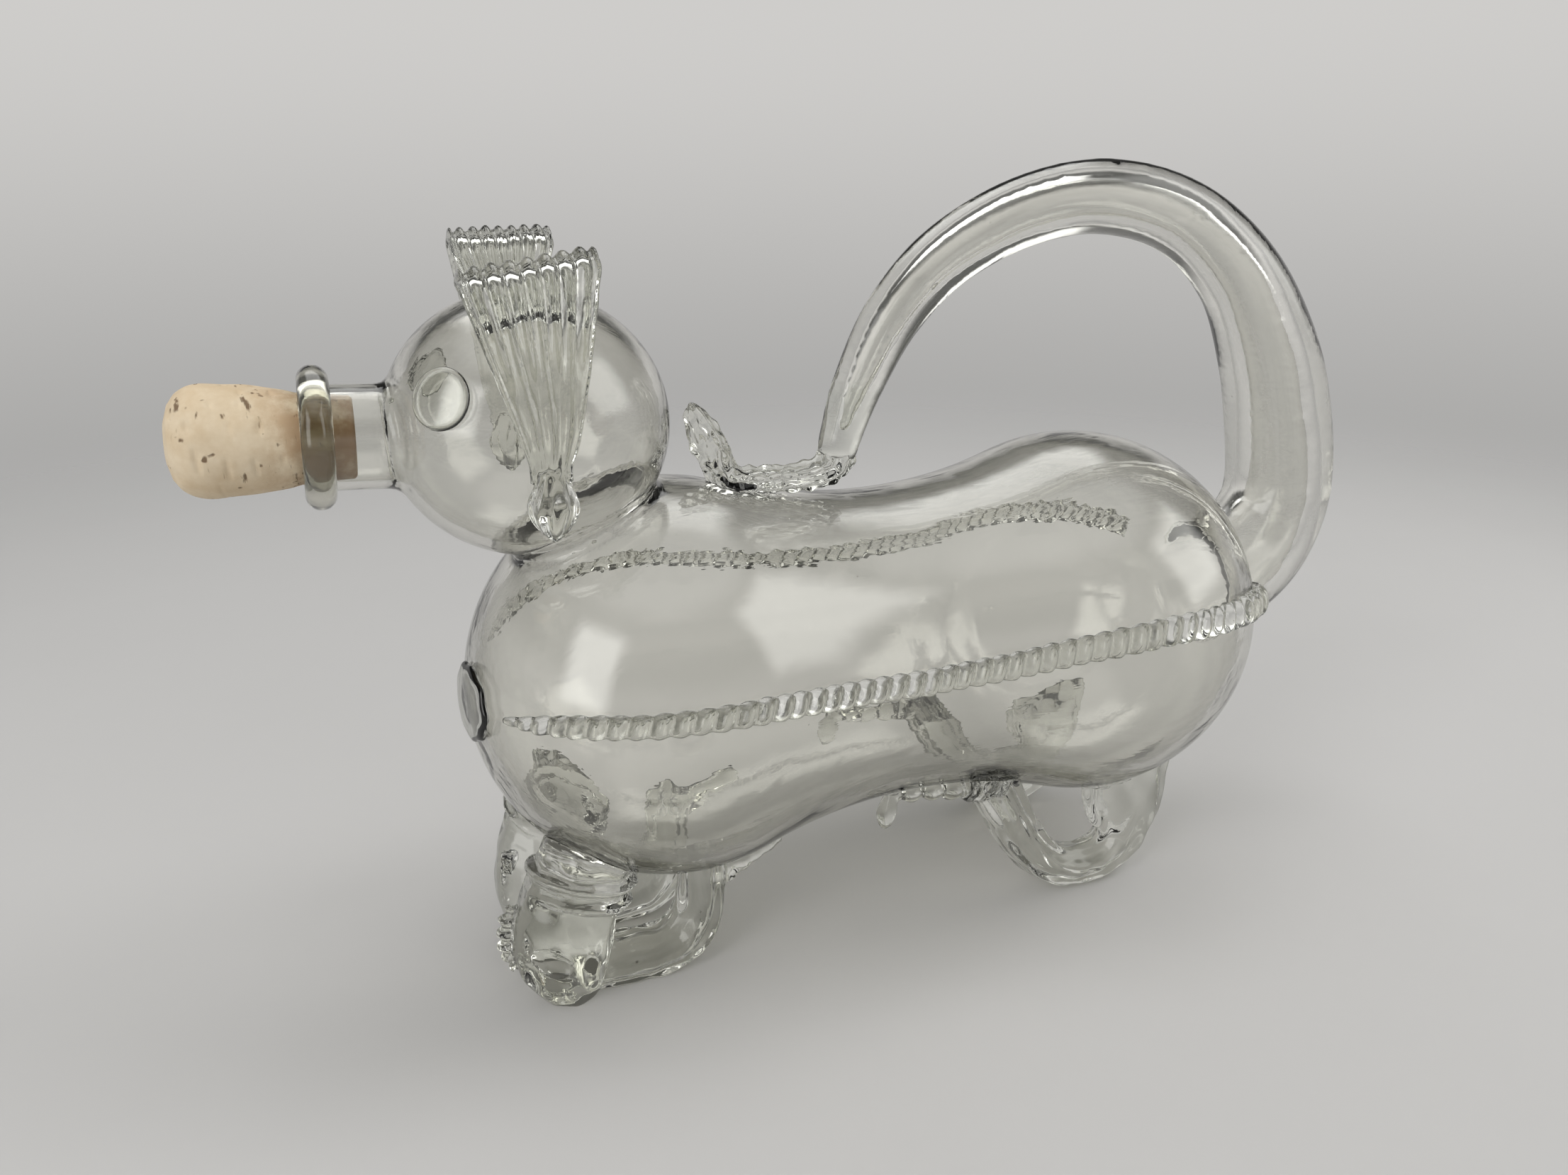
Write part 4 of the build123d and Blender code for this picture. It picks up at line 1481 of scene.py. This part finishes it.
@dataclass
class Legs:
    """The four legs of drawn glass, bent to loops under the body."""

    material: Material
    grain: float = 0.5
    smoothing: int = 5
    ripple_length: float = 7.0
    ripple_height: float = 0.16
    first_seed: int = 31
    # Each pair: count and depth of the grooves
    paw_flutes: Row = (7, 0.05)
    rod_flutes: Row = (6, 0.16)
    front_string_flutes: Row = (3, 0.15)
    rear_string_flutes: Row = (3, 0.12)
    drop_flutes: Row = (5, 0.22)
    front_foot_x: float = -73.2
    front_length: float = 30.6
    front_height: float = 30.0
    front_out: float = 14.0
    paw_radius: float = 10.6
    rod_radius: float = 5.9
    front_string_length: float = 19.0
    front_string_radius: float = 3.9
    front_string_crimp: float = 0.05
    rear_foot_x: float = 45.0
    rear_length: float = 33.0
    rear_height: float = 29.0
    rear_out: float = 19.6
    rear_radius: float = 5.7
    rear_string_length: float = 30.5
    rear_string_radius: float = 2.875
    rear_string_crimp: float = 0.2
    drop_length: float = 8.5
    drop_radius: float = 2.5
    drop_slant: float = 1.6
    rear_right_lag: float = 2.0
    front_right_lean: float = 7.5
    crest_radius: float = 2.0
    crest_inset: float = 3.4
    crest_crimp: float = 0.35
    # Each pair: a share at the crest's ends, and what its middle or top adds
    crest_reach: Row = (0.86, 0.1)
    crest_rise: Row = (0.22, 0.5)
    crest_swell: Row = (0.6, 0.4)
    fold_radius: float = 1.3
    fold_rim_share: float = 0.94
    fold_back_share: float = 0.19
    fold_axis: Row = (0.30, -0.16, 1.0)
    # Each row: height as a share, and how far the fold swells over the paw
    fold_rows: Rows = ((0.94, 0.6), (0.8, 0.2))
    mark_length: float = 6.4
    mark_radius: float = 3.4
    mark_height_share: float = 0.48
    # Where on the paw the mark is, from its middle, and the way that it runs, for +Y
    mark_way: Row = (-0.42, 0.97, 0.0)
    mark_axis: Row = (0.87, 0.35, -0.34)
    # Each row: place back from the foot, height, half depth and half width, as shares
    paw_shares: Rows = (
        (0.31, 1.27, 0.94, 0.94), (0.19, 0.98, 0.94, 0.94), (0.07, 0.67, 1.0, 0.98), (0.02, 0.4, 1.0, 0.98),
        (0.04, 0.2, 0.85, 0.84), (0.08, -0.03, 0.5, 0.52),
    )
    front_rod_shares: Rows = (
        (0.16, 0.18, 0.9, 0.9), (0.4, 0.172, 1.0, 1.0), (0.68, 0.172, 1.0, 1.0), (0.87, 0.235, 1.02, 1.0),
        (0.985, 0.42, 1.0, 0.96), (1.02, 0.65, 0.96, 0.92), (1.04, 0.98, 1.0, 0.9),
    )
    rear_shares: Rows = (
        (-0.56, 1.12, 1.08, 1.05), (-0.42, 0.83, 1.05, 1.0), (-0.27, 0.53, 1.0, 1.0), (-0.06, 0.27, 0.95, 0.98),
        (0.17, 0.17, 0.94, 0.96), (0.4, 0.19, 1.0, 0.94), (0.57, 0.33, 1.35, 0.84), (0.62, 0.56, 1.95, 0.72),
        (0.6, 0.8, 2.15, 0.68), (0.58, 1.12, 2.4, 0.66),
    )
    # Each row: place along and radius, as shares
    string_sink: float = 0.6
    string_shares: Rows = ((0.0, 1.1), (0.25, 0.95), (0.5, 0.8), (0.75, 0.65), (1.0, 0.45))
    drop_shares: Rows = ((-0.2, 0.5), (0.1, 0.7), (0.45, 1.0), (0.75, 0.8), (1.0, 0.25))

    def string(self, start_x: float, out: float, length: float, radius: float, crimp: float) -> list[Row]:
        """The thin pulled end of a leg, laid along the belly.

        Args:
            start_x: Where it leaves the leg.
            out: How far out from the middle it lies.
            length: Its length, below 0 where it runs forwards.
            radius: Its radius at the leg.
            crimp: How much it swells and thins along its way, as a share of the radius.

        Returns:
            The stations of the string.
        """
        stations = []
        for index, share in enumerate(np.linspace(0, 1, 13)):
            x = start_x + share * length
            thick = radius * read_table(self.string_shares, share) * (1 + crimp * (-1) ** index)
            stations.append((x, out, BODY.belly(x, out) - thick * self.string_sink, thick, thick))
        return stations

    def front(self) -> list:
        """The front leg's routes, each with its count and depth of grooves.

        Returns:
            The routes, each with its grooves.
        """
        foot, length, height = (self.front_foot_x, self.front_out, 0.0), self.front_length, self.front_height
        start = self.front_foot_x + length
        string_size = (self.front_string_length, self.front_string_radius, self.front_string_crimp)
        string = self.string(start, self.front_out, *string_size)
        paw = sections(self.paw_shares, foot, (length, height, self.paw_radius, self.paw_radius))
        rod = sections(self.front_rod_shares, foot, (length, height, self.rod_radius, self.rod_radius))
        return [(paw, self.paw_flutes), (rod, self.rod_flutes), (string, self.front_string_flutes)]

    def rear(self) -> list:
        """The rear leg's routes, each with its count and depth of grooves.

        Returns:
            The routes, each with its grooves.
        """
        out = self.rear_out
        size = (self.rear_length, self.rear_height, self.rear_radius, self.rear_radius)
        rod = sections(self.rear_shares, (self.rear_foot_x, out, 0.0), size)
        start = rod[1][0]
        end = start - self.rear_string_length
        hanging = []
        for fall, size in self.drop_shares:
            z, thick = BODY.belly(end, out) - fall * self.drop_length, size * self.drop_radius
            hanging.append((end - self.drop_slant * fall, out, z, thick, thick))
        string = self.string(start, out, -self.rear_string_length, self.rear_string_radius, self.rear_string_crimp)
        return [(rod, self.rod_flutes), (string, self.rear_string_flutes), (hanging, self.drop_flutes)]

    def crest(self) -> list[Row]:
        """The crimped edge down the front of a front paw.

        Returns:
            The sections, for draw_glass.
        """
        stations = []
        for index, share in enumerate(np.linspace(0, 1, 11)):
            bow = sin(pi * share)
            reach, rise, swell = (
                base + more * way for (base, more), way in
                ((self.crest_reach, bow), (self.crest_rise, share), (self.crest_swell, bow))
            )
            x, z = self.front_foot_x - self.paw_radius * reach, rise * self.front_height
            thick = self.crest_radius * (1 + self.crest_crimp * (-1) ** index) * swell
            stations.append((x, self.front_out - self.crest_inset, z, thick, thick))
        return stations

    def collar(self, side: Side, lean: float) -> list[Solid]:
        """The two folds of glass round the top of a front paw.

        Args:
            side: Which flank.
            lean: How far the leg leans in at the foot.

        Returns:
            The folds as solids.
        """
        folds, fold = [], self.fold_radius
        for share, swell in self.fold_rows:
            x = self.front_foot_x + self.fold_back_share * self.front_length * share
            y = side.value * (self.front_out - lean * (1 - share))
            profile = half_oval(fold, 2 * fold, 9, self.fold_rim_share * self.paw_radius + swell - fold)
            profile = [(-fold, 0.0), *profile, (fold, 0.0)]
            centre = np.array([x, y, share * self.front_height])
            folds.append(lathe(profile, centre, mirrored(self.fold_axis, side), 64))
        return folds

    def press_mark(self, side: Side, lean: float) -> Solid:
        """The lens-shaped mark that the tool pressed into a front paw.

        Args:
            side: Which flank.
            lean: How far the leg leans in at the foot.

        Returns:
            The solid that cuts the mark.
        """
        out, z = self.front_out - 0.5 * lean, self.mark_height_share * self.front_height
        centre = mirrored((self.front_foot_x, out, z), side) + mirrored(self.mark_way, side) * self.paw_radius
        return lathe(half_oval(self.mark_length, self.mark_radius, 17), centre, mirrored(self.mark_axis, side), 40)

    def solids(self, routes: list, side: Side, lag: float, lean: float) -> list[Solid]:
        """The solids of routes moved to one side, a little back and leaning in at the foot.

        Args:
            routes: The routes, each with its grooves.
            side: Which flank.
            lag: How far back the leg stands.
            lean: How far it leans in at the foot.

        Returns:
            The solids, one per route.
        """
        drawn = []
        for route, flutes in routes:
            rows = np.array(route)
            rows[:, 0] += lag
            rows[:, 1] = side.value * (rows[:, 1] - lean * np.maximum(1 - rows[:, 2] / self.front_height, 0))
            drawn.append(draw_glass(rows, 8, 60, *flutes))
        return drawn

    def finish(self, piece: Piece, name: str, seed: int) -> None:
        """Ripples a leg, flattens it where it stands, makes room for the body and dresses it.

        Args:
            piece: The leg.
            name: Name of the CAD node that it stands for.
            seed: Seed of the ripples.
        """
        ripple(piece, self.ripple_length, self.ripple_height, seed)
        points = read_points(piece)
        points[:, 2] = np.maximum(points[:, 2], 0.0)
        write_points(piece, points)
        cut(piece, BODY.solid(SEAT_GAP))
        dress(piece, self.material, (name,))

    def build(self) -> None:
        """Builds the four legs, the crest on the near front paw alone."""
        near = [*self.front(), (self.crest(), (1, 0.0))]
        plans = [
            ("front_left_leg", Side.LEFT, near, 0.0, 0.0),
            ("front_right_leg", Side.RIGHT, self.front(), 0.0, self.front_right_lean),
            ("rear_left_leg", Side.LEFT, self.rear(), 0.0, 0.0),
            ("rear_right_leg", Side.RIGHT, self.rear(), self.rear_right_lag, 0.0),
        ]
        for seed, (name, side, routes, lag, lean) in enumerate(plans, self.first_seed):
            paw = name.startswith("front")
            solids = self.solids(routes, side, lag, lean) + (self.collar(side, lean) if paw else [])
            piece = fuse(name + "_glass", solids, self.grain, self.smoothing)
            if paw:
                cut(piece, self.press_mark(side, lean))
            self.finish(piece, name, seed)


@dataclass(frozen=True)
class SoftWindow:
    """A soft-edged bright patch of the room, which reflections and refractions show."""

    toward: Row
    half_width: float
    half_height: float
    softness: float
    colour: Colour

    def mask(self, link: Link, direction: Socket) -> Socket:
        """How much of the window a direction meets.

        Args:
            link: Makes the nodes.
            direction: The socket of the direction.

        Returns:
            The socket of a share from 0 to 1.
        """
        centre = unit(np.array(self.toward))
        side = unit(np.cross(UPWARDS, centre))
        inside = link.maths("GREATER_THAN", link.dot(direction, centre), 0.0)
        for axis, half in ((side, self.half_width), (np.cross(centre, side), self.half_height)):
            distance = link.maths("ABSOLUTE", link.dot(direction, axis))
            edge = link.maths("SUBTRACT", 1.0, link.ramp(distance, half, half + self.softness))
            inside = link.times(inside, edge)
        return inside


@dataclass
class Studio:
    """Camera, floor, lamps and backdrop, with places in metres."""

    camera_place: Row = (-0.107, -0.22302, 0.16676)
    camera_azimuth: float = -22.0
    camera_pitch: float = 20.0
    image_width: int = 2212
    focal_pixels: float = 1660.0
    sensor: float = 36.0
    floor_radius: float = 1.1
    floor_corners: int = 96
    backdrop_low: Colour = (0.40, 0.396, 0.388)
    backdrop_high: Colour = (0.62, 0.61, 0.595)
    dark_band: Colour = (0.10, 0.10, 0.095)
    ceiling: Colour = (0.9, 0.9, 0.88)
    # Heights of a direction of length one between which each turns to the next
    backdrop_range: Row = (-0.24, 0.12)
    band_range: Row = (0.1, 0.36)
    ceiling_range: Row = (0.72, 0.9)
    fill_colour: Colour = (0.96, 0.98, 1.0)
    fill_strength: float = 0.55
    windows: tuple[SoftWindow, ...] = (
        SoftWindow((-0.80, -0.42, 0.34), 0.16, 0.26, 0.16, (3.4, 3.4, 3.3)),
        SoftWindow((0.72, -0.35, 0.42), 0.20, 0.22, 0.18, (2.6, 2.6, 2.5)),
        SoftWindow((0.10, 0.55, 0.80), 0.34, 0.16, 0.16, (2.4, 2.4, 2.35)),
    )
    lamp_aim: Row = (0.0, 0.0, 0.06)
    # Each lamp: name, place, width and height, and watts
    lamps: tuple[tuple[str, Row, Row, float], ...] = (
        ("window_left", (-0.62, -0.42, 0.52), (0.34, 0.5), 2.6),
        ("window_right", (0.55, -0.10, 0.66), (0.26, 0.42), 1.6),
        ("softbox_top", (0.05, 0.1, 0.95), (0.42, 0.3), 1.2),
    )

    def stand(self, data: bpy.types.ID, place: Row, heading: Vector) -> Piece:
        """Puts a camera or lamp at a place, facing along a heading.

        Args:
            data: The camera or lamp.
            place: Where it stands, in metres.
            heading: The way that it faces.

        Returns:
            The object.
        """
        made = bpy.data.objects.new(data.name, data)
        made.location = place
        made.rotation_mode = "QUATERNION"
        made.rotation_quaternion = heading.to_track_quat("-Z", "Y")
        bpy.context.scene.collection.objects.link(made)
        return made

    def camera(self) -> None:
        """Makes the camera at the photograph's viewing angle."""
        data = bpy.data.cameras.new("view")
        data.sensor_width = self.sensor
        data.lens = self.focal_pixels / self.image_width * self.sensor
        data.clip_start = 0.01
        turn, pitch = radians(self.camera_azimuth), radians(self.camera_pitch)
        heading = Vector((-sin(turn) * cos(pitch), cos(turn) * cos(pitch), -sin(pitch)))
        bpy.context.scene.camera = self.stand(data, self.camera_place, heading)

    def floor(self) -> None:
        """Makes the pale floor."""
        turn = np.linspace(0, 2 * pi, self.floor_corners, endpoint=False)
        rim = np.stack([np.cos(turn), np.sin(turn), np.zeros(self.floor_corners)], axis=1) * self.floor_radius / MM
        piece = make_object("floor", (rim, [tuple(range(self.floor_corners))]))
        piece.data.materials.append(PaleFloor().build())

    def light(self) -> None:
        """Makes the soft rectangular lamps, which are not seen in or through the glass."""
        for name, place, size, power in self.lamps:
            data = bpy.data.lights.new(name, "AREA")
            data.shape = "RECTANGLE"
            data.size, data.size_y = size
            data.energy = power
            made = self.stand(data, place, Vector(self.lamp_aim) - Vector(place))
            made.visible_glossy = False
            made.visible_transmission = False

    def world(self) -> None:
        """Makes the backdrop, darker above it for the glass to show its shape against, and the fill light."""
        world = bpy.data.worlds.new("studio")
        bpy.context.scene.world = world
        link = new_tree(world)
        direction = link.node("TexCoord").outputs["Generated"]
        height = link.dot(direction, UPWARDS)
        backdrop = link.blend(link.ramp(height, *self.backdrop_range), self.backdrop_low, self.backdrop_high)
        room = link.blend(link.ramp(height, *self.band_range), backdrop, self.dark_band)
        room = link.blend(link.ramp(height, *self.ceiling_range), room, self.ceiling)
        for window in self.windows:
            room = link.blend(window.mask(link, direction), room, window.colour)
        path = link.node("LightPath").outputs
        shown = link.node("Background", Color=link.blend(path["Is Camera Ray"], room, backdrop))
        fill = link.node("Background", Strength=self.fill_strength, Color=self.fill_colour)
        view = link.maths("MAXIMUM", path["Is Camera Ray"], path["Is Glossy Ray"])
        view = link.maths("MAXIMUM", view, path["Is Transmission Ray"], True)
        link.node("OutputWorld", Surface=link.mix(view, fill, shown).outputs[0])

    def build(self) -> None:
        """Builds the studio."""
        bpy.context.scene.view_settings.view_transform = "Standard"
        self.camera()
        self.floor()
        self.light()
        self.world()


def build_drops(material: Material) -> None:
    """Builds the eyes and the seal on the breast.

    Args:
        material: Finish of the drops.
    """
    for side in Side:
        place, normal = HEAD.surface(direction_of(45.0, 20.0, side))
        Drop(material, side.named("eye"), place, normal, 5.5, 5.5, 1.5, HEAD.seat).build()
    normal = direction_of(8.0, 4.0, Side.LEFT)
    place = BODY.chest + normal * BODY.chest_radius
    Drop(material, "breast_drop", place, normal, 9.5, 8.0, 1.4, BODY.seat_on_chest, 9, 0.06).build()


def main() -> None:
    """Builds the studio and every piece in order."""
    logging.basicConfig(level=logging.INFO, format="%(name)s: %(message)s")
    Studio().build()
    # The second colour given to each glass is its rim colour: painted shade at its edges, over a little of its own
    # deeper tint
    blown = ClearGlass("blown_glass").build()
    drawn = ClearGlass("drawn_glass", (0.9, 0.905, 0.86), (0.14, 0.145, 0.10), 2.0, 120.0, 0.2, cord_height=0.06)
    drawn = drawn.build()
    crimped = ClearGlass(
        "crimped_glass", (0.93, 0.935, 0.9), (0.09, 0.095, 0.065), 1.8, 260.0, 0.03, cord_height=0.01
    ).build()
    smoky = ClearGlass("smoky_glass", (0.80, 0.79, 0.71), (0.10, 0.095, 0.06), 1.9, 150.0, 0.12).build()
    ribbed = ClearGlass(
        "ribbed_glass", (0.88, 0.885, 0.84), (0.08, 0.085, 0.055), 1.7, 200.0, 0.05, cord_height=0.01
    ).build()
    vessel = Vessel(blown, drawn)
    vessel.build()
    MouthRing(smoky).build()
    Cork(NaturalCork().build(), HEAD.ring + HEAD.nose * vessel.lip_length).build()
    build_drops(crimped)
    Ear(ribbed, Side.LEFT, -70.4, 151.8, 24.0, 8.0, 21).build()
    Ear(ribbed, Side.RIGHT, -69.4, 155.2, 19.6, 1.5, 22).build()
    left_shares = (
        (0, 1.05), (0.13, 0.93), (0.26, 0.92), (0.36, 0.76), (0.47, 0.62), (0.58, 0.7), (0.67, 0.92), (0.77, 1.15),
        (0.9, 1.22), (1, 1.3),
    )
    right_shares = (
        (0, 1.0), (0.2, 1.05), (0.34, 1.05), (0.55, 0.97), (0.69, 0.85), (0.84, 0.99), (0.94, 1.2), (1, 1.4),
    )
    Trail(crimped, Side.LEFT, 12.0, left_shares, 51).build()
    Trail(crimped, Side.RIGHT, 18.5, right_shares, 52).build()
    Legs(drawn).build()


if __name__ == "__main__":
    main()
